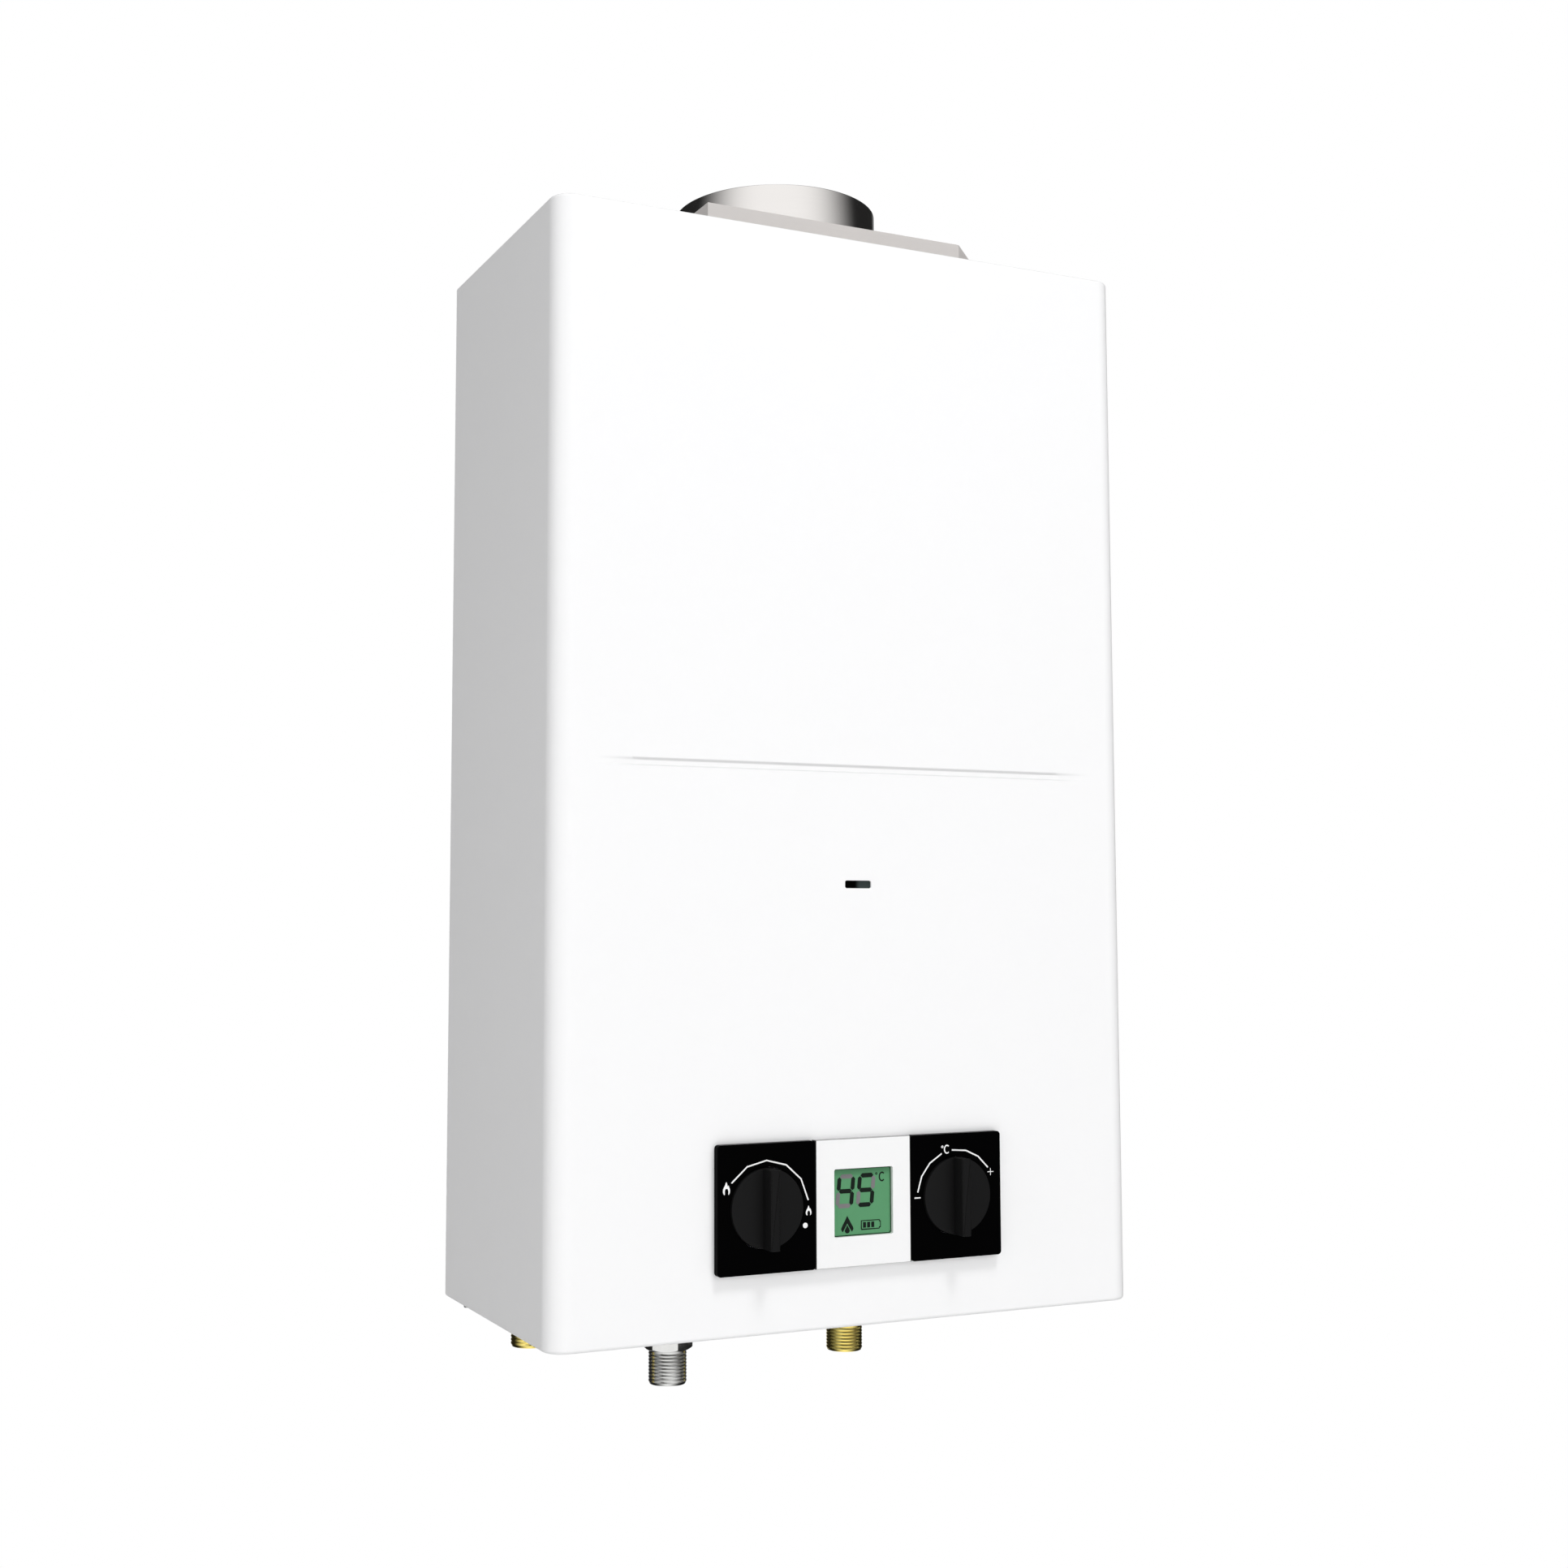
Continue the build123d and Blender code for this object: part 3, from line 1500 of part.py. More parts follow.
def flue_riser():
    """The tapered duct on the shell that leads the flue gas up into the hood."""
    base = extrude(level(shell_top) * (duct_plan(-shell_flange) - duct_plan(hood_sheet)), amount=hood_sheet)
    outer = loft([level(shell_top) * riser_plan(0), level(riser_top) * riser_plan(riser_inset)])
    inner = loft(
        [
            level(shell_top - 0.1) * riser_plan(hood_sheet),
            level(riser_top + 0.1) * riser_plan(riser_inset + hood_sheet),
        ]
    )
    return base + outer - inner


def riser_plan(inset):
    """The riser's rectangle at a height where it has drawn in by an inset."""
    return Pos(0, shell_mid_y) * Rectangle(2 * (shell_half - inset), shell_depth - 2 * inset)


def draught_hood():
    """The folded hood: a wide chamber open below, and the raised neck that carries the collar."""
    depth = hood_front + plate_y
    middle = (plate_y - hood_front) / 2
    chamber = Pos(0, middle) * Rectangle(2 * chamber_half_width, depth)
    hood = extrude(level(hood_bottom) * chamber, amount=chamber_top - hood_bottom)
    hood += extrude(level(chamber_top - 1) * neck_plan(0, plate_y), amount=hood_top - chamber_top + 1)
    hollow = Pos(0, middle) * Rectangle(2 * (chamber_half_width - hood_sheet), depth - 2 * hood_sheet)
    hood -= extrude(level(hood_bottom - 1) * hollow, amount=chamber_top - hood_sheet - hood_bottom + 1)
    neck_hollow = neck_plan(-hood_sheet, plate_y - hood_sheet)
    hood -= extrude(level(chamber_top - hood_sheet - 1) * neck_hollow, amount=hood_top - chamber_top + 1)
    hole = Circle(collar_radius - collar_step + seat_gap)
    return hood - extrude(level(hood_top - 2) * (Pos(0, -collar_back) * hole), amount=4)


def flue_collar():
    """The round flue spigot, drawn in where it passes the hood's top, with a flange underneath."""
    under = hood_top - hood_sheet
    inner = collar_radius - collar_sheet
    shoulder = hood_top + fit_gap
    top = hood_top + collar_rise
    return turned(
        Plane(origin=(0, -collar_back, 0)),
        (inner - collar_step, under - collar_sheet),
        (collar_radius + collar_flange, under - collar_sheet),
        (collar_radius + collar_flange, under),
        (collar_radius - collar_step, under),
        (collar_radius - collar_step, shoulder),
        (collar_radius, shoulder),
        (collar_radius, top),
        (inner, top),
        (inner, shoulder + collar_sheet),
        (inner - collar_step, shoulder + collar_sheet),
    )


def hood_baffle():
    """The roof-shaped plate inside the hood that keeps a down-draught off the burner."""
    ridge = baffle_height + baffle_rise
    outline = make_face(
        Polyline(
            (-baffle_half_width, baffle_height),
            (0, ridge),
            (baffle_half_width, baffle_height),
            (baffle_half_width, baffle_height + hood_sheet),
            (0, ridge + hood_sheet),
            (-baffle_half_width, baffle_height + hood_sheet),
            close=True,
        )
    )
    back = plate_y - hood_sheet - fit_gap
    return extrude(front_plane(back) * outline, amount=back + hood_front - hood_sheet - fit_gap)


def ignition_box():
    """The electronic control box on the back plate, with its cable sockets underneath."""
    right = box_left + box_width
    body = block((box_left, right), (plate_y - box_depth, plate_y), (box_bottom, box_bottom + box_tall))
    body = fillet(body.edges().filter_by(Axis.Y), 4)
    body -= block(
        (box_left + box_wall, right - box_wall),
        (plate_y - box_depth + box_wall, plate_y - box_wall),
        (box_bottom + box_wall, box_bottom + box_tall - box_wall),
    )
    for i in range(3):
        x = box_left + 14 + i * 24
        body += block(
            (x - 8, x + 8), (plate_y - box_depth + 4, plate_y - 6), (box_bottom - 5, box_bottom + 1)
        )
    return body


def battery_holder():
    """The battery bay: a box open underneath, with ears for the lid's pins."""
    body = block((bay_left, bay_right), (bay_front_y, plate_y), (bay_bottom, bay_top))
    body = fillet(body.edges().filter_by(Axis.Z), 2)
    body -= block(
        (bay_left + bay_wall, bay_right - bay_wall),
        (bay_front_y + bay_wall, plate_y - bay_wall),
        (bay_bottom - 1, bay_top - bay_wall),
    )
    pin_y, pin_z = lid_pin_place()
    for x in (bay_left, bay_right - bay_wall):
        body -= rod((x - 1, pin_y, pin_z), (x + bay_wall + 1, pin_y, pin_z), lid_pin_radius + running_gap)
    return body


def lid_pin_place():
    """The lid's hinge line, near the bay's lower front edge."""
    barrel = lid_pin_radius + lid_barrel_wall
    return bay_front_y + bay_wall + barrel + fit_gap, bay_bottom + barrel


def battery_cells():
    """The two large round cells, side by side."""
    y = plate_y - bay_wall - fit_gap - cell_radius
    cells = []
    for i in range(2):
        x = bay_left + bay_wall + fit_gap + cell_radius + i * (2 * cell_radius + fit_gap)
        shoulder = cell_bottom + cell_length
        jacket = rod((x, y, cell_bottom), (x, y, shoulder), cell_radius)
        cells.append(jacket + rod((x, y, shoulder), (x, y, shoulder + cell_cap), cell_cap_radius))
    return group(cells)


def battery_contacts():
    """The two contact plates at the top of the bay."""
    y = plate_y - bay_wall - fit_gap - cell_radius
    top = bay_top - bay_wall
    plates = []
    for i in range(2):
        x = bay_left + bay_wall + fit_gap + cell_radius + i * (2 * cell_radius + fit_gap)
        plate = Pos(x, y) * RectangleRounded(22, 22, 3)
        plates.append(extrude(level(top - contact_thickness) * plate, amount=contact_thickness))
    return group(plates)


def battery_lid():
    """The hinged lid under the batteries, with the bridge contact and two hinge pins."""
    pin_y, pin_z = lid_pin_place()
    left = bay_left + bay_wall + fit_gap
    right = bay_right - bay_wall - fit_gap
    back = plate_y - bay_wall - fit_gap
    lid = block((left, right), (pin_y, back), (bay_bottom, bay_bottom + lid_thickness))
    lid = fillet(lid.edges().filter_by(Axis.Z).sort_by(Axis.Y)[-2:], 1.5)
    lid += rod((left, pin_y, pin_z), (right, pin_y, pin_z), lid_pin_radius + lid_barrel_wall)
    lid += rod((bay_left, pin_y, pin_z), (bay_right, pin_y, pin_z), lid_pin_radius)
    grip = Pos((left + right) / 2, back - 8) * SlotOverall(24, 4)
    lid -= extrude(level(bay_bottom - 1) * grip, amount=2)
    bridge = Pos((left + right) / 2, (pin_y + back) / 2) * Rectangle(right - left - 20, 14)
    return lid + extrude(level(bay_bottom + lid_thickness - 0.1) * bridge, amount=contact_thickness + 0.1)


pieces = {
    "back_plate": back_plate(),
    "front_casing": front_casing(),
    "casing_screws": casing_screws(),
    "lower_bracket": lower_bracket(),
    "sight_glass": sight_glass(),
    "sight_glass_clip": sight_glass_clip(),
    "panel_body": panel_body(),
    "panel_inlays": group(panel_inlay(side) for side in (-1, 1)),
    "display_panel": display_panel(),
    "display_light_box": display_light_box(),
    "display_board": display_board(),
    "gas_knob": knob(-1),
    "gas_spindle": gas_spindle(),
    "gas_tap_plug": gas_tap_plug(),
    "temperature_knob": knob(1),
    "temperature_spindle": temperature_spindle(),
    "gas_inlet_fitting": gas_inlet_fitting(),
    "cold_inlet_fitting": cold_inlet_fitting(),
    "hot_outlet_fitting": hot_outlet_fitting(),
    "fitting_locknuts": fitting_locknuts(),
    "gas_valve_body": gas_valve_body(),
    "gas_valve_cover": gas_valve_cover(),
    "tap_bonnet": tap_bonnet(),
    "solenoid": solenoid(),
    "solenoid_plunger": solenoid_plunger(),
    "gas_pipe": gas_pipe(),
    "gas_manifold": gas_manifold(),
    "gas_injectors": gas_injectors(),
    "burner_tray": burner_tray(),
    "burner_blades": burner_blades(),
    "combustion_shell": combustion_shell(),
    "exchanger_fins": exchanger_fins(),
    "exchanger_coil": exchanger_coil(),
    "cold_feed_pipe": cold_feed_pipe(),
    "hot_pipe": hot_pipe(),
    "union_nuts": union_nuts(),
    "support_rails": support_rails(),
    "water_valve_body": water_valve_body(),
    "water_valve_cover": water_valve_cover(),
    "diaphragm": diaphragm(),
    "valve_screws": chamber_screw_heads(),
    "linkage_rod": linkage_rod(),
    "selector_gland": selector_gland(),
    "water_filter": water_filter(),
    "microswitch": microswitch(),
    "microswitch_lever": microswitch_lever(),
    "electrodes": electrodes(),
    "electrode_brackets": electrode_brackets(),
    "overheat_thermostat": overheat_thermostat(),
    "flue_gas_thermostat": flue_gas_thermostat(),
    "outlet_temperature_sensor": outlet_temperature_sensor(),
    "flue_riser": flue_riser(),
    "draught_hood": draught_hood(),
    "flue_collar": flue_collar(),
    "hood_baffle": hood_baffle(),
    "ignition_box": ignition_box(),
    "battery_holder": battery_holder(),
    "battery_cells": battery_cells(),
    "battery_contacts": battery_contacts(),
    "battery_lid": battery_lid(),
}

os.makedirs("parts", exist_ok=True)
for name, piece in pieces.items():
    export_step(Pos(0, 0, -hanging_height) * piece, f"parts/{name}.step")
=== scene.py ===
"""Dresses the gas water heater: enamel casing, flue collar, knobs, display, dial marks and threads."""

import json
import math

import bmesh
import bpy
from bpy.props import FloatProperty, FloatVectorProperty
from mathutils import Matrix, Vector


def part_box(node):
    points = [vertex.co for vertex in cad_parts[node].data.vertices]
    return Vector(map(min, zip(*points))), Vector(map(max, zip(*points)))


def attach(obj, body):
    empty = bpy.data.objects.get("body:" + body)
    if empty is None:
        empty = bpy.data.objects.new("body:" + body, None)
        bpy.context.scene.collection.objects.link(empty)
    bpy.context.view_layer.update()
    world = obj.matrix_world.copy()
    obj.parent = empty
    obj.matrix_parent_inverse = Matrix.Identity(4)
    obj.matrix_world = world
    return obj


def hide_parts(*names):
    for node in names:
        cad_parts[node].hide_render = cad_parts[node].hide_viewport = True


bl_info = {
    "name": "Gas water heater looks",
    "version": (1, 0, 0),
    "blender": (4, 5, 0),
    "location": "View3D > Sidebar > Water heater",
    "description": "Builds the finished surfaces and stage of a wall-hung gas water heater",
    "category": "Object",
}

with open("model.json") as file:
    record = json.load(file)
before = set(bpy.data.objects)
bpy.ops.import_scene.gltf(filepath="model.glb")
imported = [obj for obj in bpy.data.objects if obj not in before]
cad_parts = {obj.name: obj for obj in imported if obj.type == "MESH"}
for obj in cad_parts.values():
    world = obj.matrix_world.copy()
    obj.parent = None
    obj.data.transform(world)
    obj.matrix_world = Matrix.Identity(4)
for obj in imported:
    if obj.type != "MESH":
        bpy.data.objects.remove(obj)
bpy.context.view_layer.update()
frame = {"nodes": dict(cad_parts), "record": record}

CASING_LOW, CASING_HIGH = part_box("front_casing")
INLAY_LOW, INLAY_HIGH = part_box("panel_inlays")
HOOD_LOW, HOOD_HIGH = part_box("draught_hood")
COLLAR_LOW, COLLAR_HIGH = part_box("flue_collar")
PANEL_FRONT = INLAY_LOW.y
GLASS_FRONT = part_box("display_panel")[0].y
PANEL_MIDDLE = (INLAY_LOW.z + INLAY_HIGH.z) / 2

# A tenth of a millimetre: the fade of a colour edge and of an edge of painted shade, and the slack in
# comparing two places
HAIR = 0.0001
# A hundredth of a millimetre: what still counts as lying in a plane
TOUCH = 0.00001
# Long enough for a tool to reach through any piece that it cuts
THROUGH = 0.1


# Sizes and colours


def length(name, description, default):
    """A setting in metres."""
    return FloatProperty(name=name, description=description, default=default, unit="LENGTH")


def power(name, description, default):
    """A lamp's power in watts."""
    return FloatProperty(name=name, description=description, default=default, unit="POWER")


def tint(name, description, default):
    """A colour setting."""
    return FloatVectorProperty(
        name=name, description=description, subtype="COLOR", size=3, default=default, min=0, max=1
    )


class CasingSettings(bpy.types.PropertyGroup):
    """The painted shell."""

    corner_radius: length("Corner radius", "Round of the two front corners", 0.0115)
    edge_radius: length("Edge radius", "Round of the top and bottom rims", 0.002)
    sheet: length("Sheet", "Thickness of the steel", 0.001)
    flange: length("Flange", "Return flange underneath", 0.014)
    groove_height: length("Groove height", "Middle of the groove above the lower edge", 0.295)
    groove_width: length("Groove width", "Height of the groove", 0.0036)
    groove_length: length("Groove length", "From one faded end to the other", 0.308)
    groove_ramp: length("Groove ramp", "Length over which an end fades", 0.032)
    groove_depth: length("Groove depth", "Depth at its middle", 0.0008)
    groove_slope: length("Groove slope", "Height of its sloping upper side", 0.0014)
    groove_step: length("Groove step", "Height of its lower step", 0.0003)
    window_height: length("Window height", "Middle of the sight slot above the lower edge", 0.233)
    window_length: length("Window length", "Sight slot's length", 0.016)
    window_opening: length("Window opening", "Sight slot's height", 0.0042)
    window_corner: length("Window corner", "Sight slot's corner radius", 0.001)
    panel_rim: length("Panel rim", "How far the panel overlaps its opening", 0.0042)
    neck_gap: length("Neck gap", "Gap round the hood's neck in the top", 0.001)


class HoodSettings(bpy.types.PropertyGroup):
    """The hood's neck and the collar."""

    neck_half_width: length("Neck half width", "Front corner of the neck", 0.0802)
    neck_chamfer: length("Neck chamfer", "Cut-off corner at the right", 0.020)
    sheet: length("Collar sheet", "Thickness of the collar", 0.001)
    waist: length("Waist", "How far the collar draws in where it passes the hood", 0.002)
    waist_lift: length("Waist lift", "Waist's end above the hood's top", 0.0003)
    flange: length("Flange", "Flange under the hood's top", 0.007)


class ControlSettings(bpy.types.PropertyGroup):
    """Knobs, dial marks and display."""

    knob_radius: length("Knob radius", "Disc's radius", 0.0206)
    knob_stand: length("Knob stand", "Disc's face in front of the panel", 0.0016)
    knob_edge: length("Knob edge", "Round of the disc's edge", 0.0004)
    knob_depth: length("Knob depth", "Disc's back in front of the carried-over back", 0.002)
    grip_width: length("Grip width", "Width of the bar", 0.0054)
    grip_edge: length("Grip edge", "Round of the bar's edges", 0.0005)
    stroke: length("Stroke", "Width of the dial's lines", 0.00085)
    print_height: length("Print height", "Thickness of printed marks", 0.00006)
    digit_height: length("Digit height", "Display digit", 0.0153)
    digit_width: length("Digit width", "Display digit", 0.0083)
    digit_slant: FloatProperty(
        name="Digit slant", description="Lean of the digits", default=math.radians(5.7), subtype="ANGLE"
    )
    # The liner is painted shade: a dark border round the display for the shadow of its recess
    shade_border_half: length("Liner half", "Middle of the display to its dark border", 0.01735)
    shade_border_corner: length("Liner corner", "Corner of that border", 0.0010)
    shade_border_width: length("Liner width", "Width of that border", 0.0006)
    segment_width: length("Segment width", "Display segment", 0.0023)


class FittingSettings(bpy.types.PropertyGroup):
    """Pipe connections."""

    thread_radius: length("Thread radius", "Radius over the crests", 0.010478)
    thread_pitch: length("Pitch", "Half-inch pipe thread", 0.001814)
    thread_depth: length("Thread depth", "Crest to root", 0.0004)
    thread_lead: length("Thread lead", "Plain end before the first ridge", 0.0006)
    entry: length("Entry", "Chamfer at the bore's mouth", 0.0004)
    bore_radius: length("Bore", "Inside radius", 0.007)
    neck_radius: length("Neck", "Neck above the hexagon", 0.009)
    across_flats: length("Across flats", "Hexagon", 0.024)
    hex_height: length("Hexagon height", "Hexagon", 0.009)
    hex_hidden: length("Hexagon hidden", "How far the hexagon reaches into the casing", 0.0013)
    hex_edge: length("Hexagon edge", "Round of the hexagon's edges", 0.0003)


class ColourSettings(bpy.types.PropertyGroup):
    """Colours that a user would change."""

    enamel: tint("Enamel", "Casing", (0.90, 0.90, 0.905))
    inlay: tint("Inlay", "Panel's dark ends", (0.0006, 0.0006, 0.0007))
    knob: tint("Knob", "Both knobs", (0.0055, 0.0055, 0.0057))
    display: tint("Display", "Lit green", (0.098, 0.300, 0.142))
    hood: tint("Hood", "Satin sheet", (0.595, 0.568, 0.552))


class StageSettings(bpy.types.PropertyGroup):
    """Camera, lamps and floor."""

    camera_place: FloatVectorProperty(
        name="Camera place", description="Solved from the view", subtype="TRANSLATION", size=3,
        default=(-0.5103, -1.0899, -0.3356), unit="LENGTH",
    )
    camera_turn: FloatProperty(
        name="Turn", description="To the right", default=math.radians(24.832), subtype="ANGLE"
    )
    camera_tilt: FloatProperty(
        name="Tilt", description="Upwards", default=math.radians(4.905), subtype="ANGLE"
    )
    camera_lens: FloatProperty(name="Lens", description="For a 36 mm sensor, in millimetres", default=44.534)
    shift_x: FloatProperty(name="Shift X", description="Share of the width", default=0.04488)
    shift_y: FloatProperty(name="Shift Y", description="Share of the width", default=-0.01765)
    floor_depth: length("Floor depth", "Floor below the hanging slots", 1.25)
    key_power: power("Key", "Large front lamp", 17.9)
    side_power: power("Side", "Lamp on the left", 11.2)
    top_power: power("Top", "Lamp above", 34.0)
    low_power: power("Low", "Lamp near the floor", 3.0)
    world_strength: FloatProperty(name="World", description="Even light from all round", default=0.47)
    room_front: FloatVectorProperty(
        name="Bright side", description="Where metal sees the bright side of the room", subtype="DIRECTION",
        size=3, default=(-0.375, -0.927, 0.0),
    )


# Modelling helpers


def start():
    """Leaves edit mode and deselects everything, so that an operator acts on the new piece alone."""
    if bpy.context.object and bpy.context.object.mode != "OBJECT":
        bpy.ops.object.mode_set(mode="OBJECT")
    bpy.ops.object.select_all(action="DESELECT")


def pick(piece):
    """Makes the piece the only selected and the active one."""
    start()
    piece.select_set(True)
    bpy.context.view_layer.objects.active = piece
    return piece


def named(name):
    """Names the piece that an operator has just added."""
    piece = bpy.context.object
    piece.name = name
    piece.data.name = name
    return piece


def settle(piece):
    """Puts the piece's place, turn and size into its mesh."""
    pick(piece)
    bpy.ops.object.transform_apply(location=True, rotation=True, scale=True)
    return piece


def block(name, low, high):
    """A block between two corners, to be shaped further."""
    start()
    low, high = Vector(low), Vector(high)
    bpy.ops.mesh.primitive_cube_add(size=1, location=(low + high) / 2)
    piece = named(name)
    piece.scale = high - low
    return settle(piece)


def drum(name, centre, axis, radius, depth, sides=96):
    """A round bar about an axis, to be shaped further."""
    start()
    turn = Vector(axis).to_track_quat("Z", "Y").to_euler()
    bpy.ops.mesh.primitive_cylinder_add(
        vertices=sides, radius=radius, depth=depth, location=centre, rotation=turn
    )
    return settle(named(name))


def meshed(name, points, edges, faces):
    """A new piece from raw geometry, left in edit mode with all of it selected."""
    start()
    mesh = bpy.data.meshes.new(name)
    mesh.from_pydata(points, edges, faces)
    piece = bpy.data.objects.new(name, mesh)
    bpy.context.collection.objects.link(piece)
    pick(piece)
    bpy.ops.object.mode_set(mode="EDIT")
    bpy.ops.mesh.select_all(action="SELECT")
    return piece


def face_outwards():
    """Turns every face outwards and leaves edit mode."""
    bpy.ops.mesh.select_all(action="SELECT")
    bpy.ops.mesh.normals_make_consistent(inside=False)
    bpy.ops.object.mode_set(mode="OBJECT")


def prism(name, outline, offset):
    """A flat outline pushed out along an offset."""
    piece = meshed(name, [tuple(p) for p in outline], [], [list(range(len(outline)))])
    bpy.ops.mesh.extrude_region_move(TRANSFORM_OT_translate={"value": tuple(offset)})
    face_outwards()
    return piece


def turned(name, centre, axis, profile, steps=96):
    """A closed (radius, height) profile spun round an axis through the centre."""
    points = [(radius, 0, height) for radius, height in profile]
    count = len(points)
    piece = meshed(name, points, [(i, (i + 1) % count) for i in range(count)], [])
    bpy.ops.mesh.spin(steps=steps, angle=math.tau, center=(0, 0, 0), axis=(0, 0, 1))
    bpy.ops.mesh.select_all(action="SELECT")
    bpy.ops.mesh.remove_doubles(threshold=1e-6)
    face_outwards()
    piece.rotation_euler = Vector(axis).to_track_quat("Z", "Y").to_euler()
    piece.location = centre
    return settle(piece)


def choose(piece, kind, wanted):
    """Enters edit mode with the edges or faces selected that wanted() accepts."""
    pick(piece)
    bpy.ops.object.mode_set(mode="EDIT")
    bpy.ops.mesh.select_mode(type=kind)
    bpy.ops.mesh.select_all(action="DESELECT")
    mesh = bmesh.from_edit_mesh(piece.data)
    for part in mesh.edges if kind == "EDGE" else mesh.faces:
        part.select_set(wanted(part))
    bmesh.update_edit_mesh(piece.data)


def round_edges(piece, wanted, width, segments):
    """Rounds the edges that wanted() accepts by their two ends."""
    choose(piece, "EDGE", lambda edge: wanted(edge.verts[0].co, edge.verts[1].co))
    bpy.ops.mesh.bevel(offset=width, segments=segments, affect="EDGES")
    bpy.ops.object.mode_set(mode="OBJECT")
    return piece


def finish_modifier(piece, kind, **values):
    """Adds one modifier, sets its values and applies it."""
    pick(piece)
    modifier = piece.modifiers.new(kind.lower(), kind)
    for key, value in values.items():
        setattr(modifier, key, value)
    bpy.ops.object.modifier_apply(modifier=modifier.name)
    return piece


def cut(piece, tool, operation="DIFFERENCE"):
    """Cuts, joins or trims the piece with a tool, and removes the tool."""
    finish_modifier(piece, "BOOLEAN", object=tool, operation=operation, solver="EXACT")
    bpy.data.objects.remove(tool, do_unlink=True)
    return piece


def soften(piece, width, segments=3, angle=30):
    """Rounds every sharp edge of the piece a little."""
    return finish_modifier(
        piece, "BEVEL", width=width, segments=segments, limit_method="ANGLE", angle_limit=math.radians(angle)
    )


def smooth(piece, angle=32):
    """Shades the piece smooth up to an angle."""
    pick(piece)
    bpy.ops.object.shade_smooth_by_angle(angle=math.radians(angle))
    return piece


def place(piece, body, material):
    """Gives a finished piece its body, slot and material."""
    piece.data.materials.clear()
    piece.data.materials.append(material)
    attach(piece, body)
    return piece


def drawn(name, points, order, cyclic, **settings):
    """A new curve through the points, turned into a mesh."""
    start()
    curve = bpy.data.curves.new(name, "CURVE")
    for key, value in settings.items():
        setattr(curve, key, value)
    spline = curve.splines.new("NURBS" if order > 2 else "POLY")
    spline.points.add(len(points) - 1)
    for point, place_at in zip(spline.points, points):
        point.co = (*place_at, 1)
    spline.use_cyclic_u = cyclic
    if order > 2:
        spline.order_u = order
    piece = bpy.data.objects.new(name, curve)
    bpy.context.collection.objects.link(piece)
    pick(piece)
    bpy.ops.object.convert(target="MESH")
    return bpy.context.object


def stroke(name, points, width, height, surface):
    """A flat printed line through (x, z) points on a surface that faces the user."""
    piece = drawn(name, [(x, 0, z) for x, z in points], 2, False, dimensions="3D", bevel_depth=width / 2,
                  bevel_resolution=3, use_fill_caps=True)
    piece.scale = (1, height / (width / 2), 1)
    piece.location = (0, surface, 0)
    return settle(piece)


def plate(name, points, height, surface, order=2):
    """A flat printed shape with an (x, z) outline, rounded where its order is more than 2."""
    piece = drawn(name, [(x, z, 0) for x, z in points], order, True, dimensions="2D", fill_mode="BOTH",
                  extrude=height, resolution_u=6)
    piece.rotation_euler = (math.radians(90), 0, 0)
    piece.location = (0, surface, 0)
    return settle(piece)


def join(name, pieces):
    """Makes one piece of several."""
    pick(pieces[0])
    for piece in pieces[1:]:
        piece.select_set(True)
    bpy.ops.object.join()
    return named(name)


# Materials


class Graph:
    """Short ways to add, set and link the nodes of one tree."""

    def __init__(self, tree):
        self.nodes, self.links = tree.nodes, tree.links

    def feed(self, node, values):
        """Links or sets a node's inputs, by name or number."""
        for key, value in dict(values).items():
            if isinstance(value, bpy.types.NodeSocket):
                self.links.new(value, node.inputs[key])
            else:
                node.inputs[key].default_value = value
        return node

    def add(self, kind, values=(), **settings):
        """A new node with its settings and inputs."""
        node = self.nodes.new(kind)
        for key, value in settings.items():
            setattr(node, key, value)
        return self.feed(node, values)

    def maths(self, operation, *values):
        """The result of one sum."""
        return self.add("ShaderNodeMath", enumerate(values), operation=operation).outputs[0]

    def vector(self, operation, *values):
        """The results of one sum with vectors."""
        return self.add("ShaderNodeVectorMath", enumerate(values), operation=operation).outputs

    def ramp(self, source, first, last, most, least=0.0, kind="SMOOTHSTEP"):
        """Goes from the least at first to the most at last."""
        values = {"Value": source, "From Min": first, "From Max": last, "To Min": least, "To Max": most}
        return self.add("ShaderNodeMapRange", values, interpolation_type=kind).outputs[0]

    def position(self):
        """The three object coordinates."""
        place_in_object = self.add("ShaderNodeTexCoord").outputs["Object"]
        return self.add("ShaderNodeSeparateXYZ", {0: place_in_object}).outputs

    def overlay(self, name, colour, share):
        """Mixes a share of another colour over the shared effect's."""
        effect = next(node for node in self.nodes if node.type == "GROUP")
        values = {"Factor": share, "A": effect.outputs["Colour"], "B": (*colour, 1)}
        mix = self.add("ShaderNodeMix", values, data_type="RGBA", name=name)
        self.feed(self.nodes["Principled BSDF"], {"Base Color": mix.outputs["Result"]})


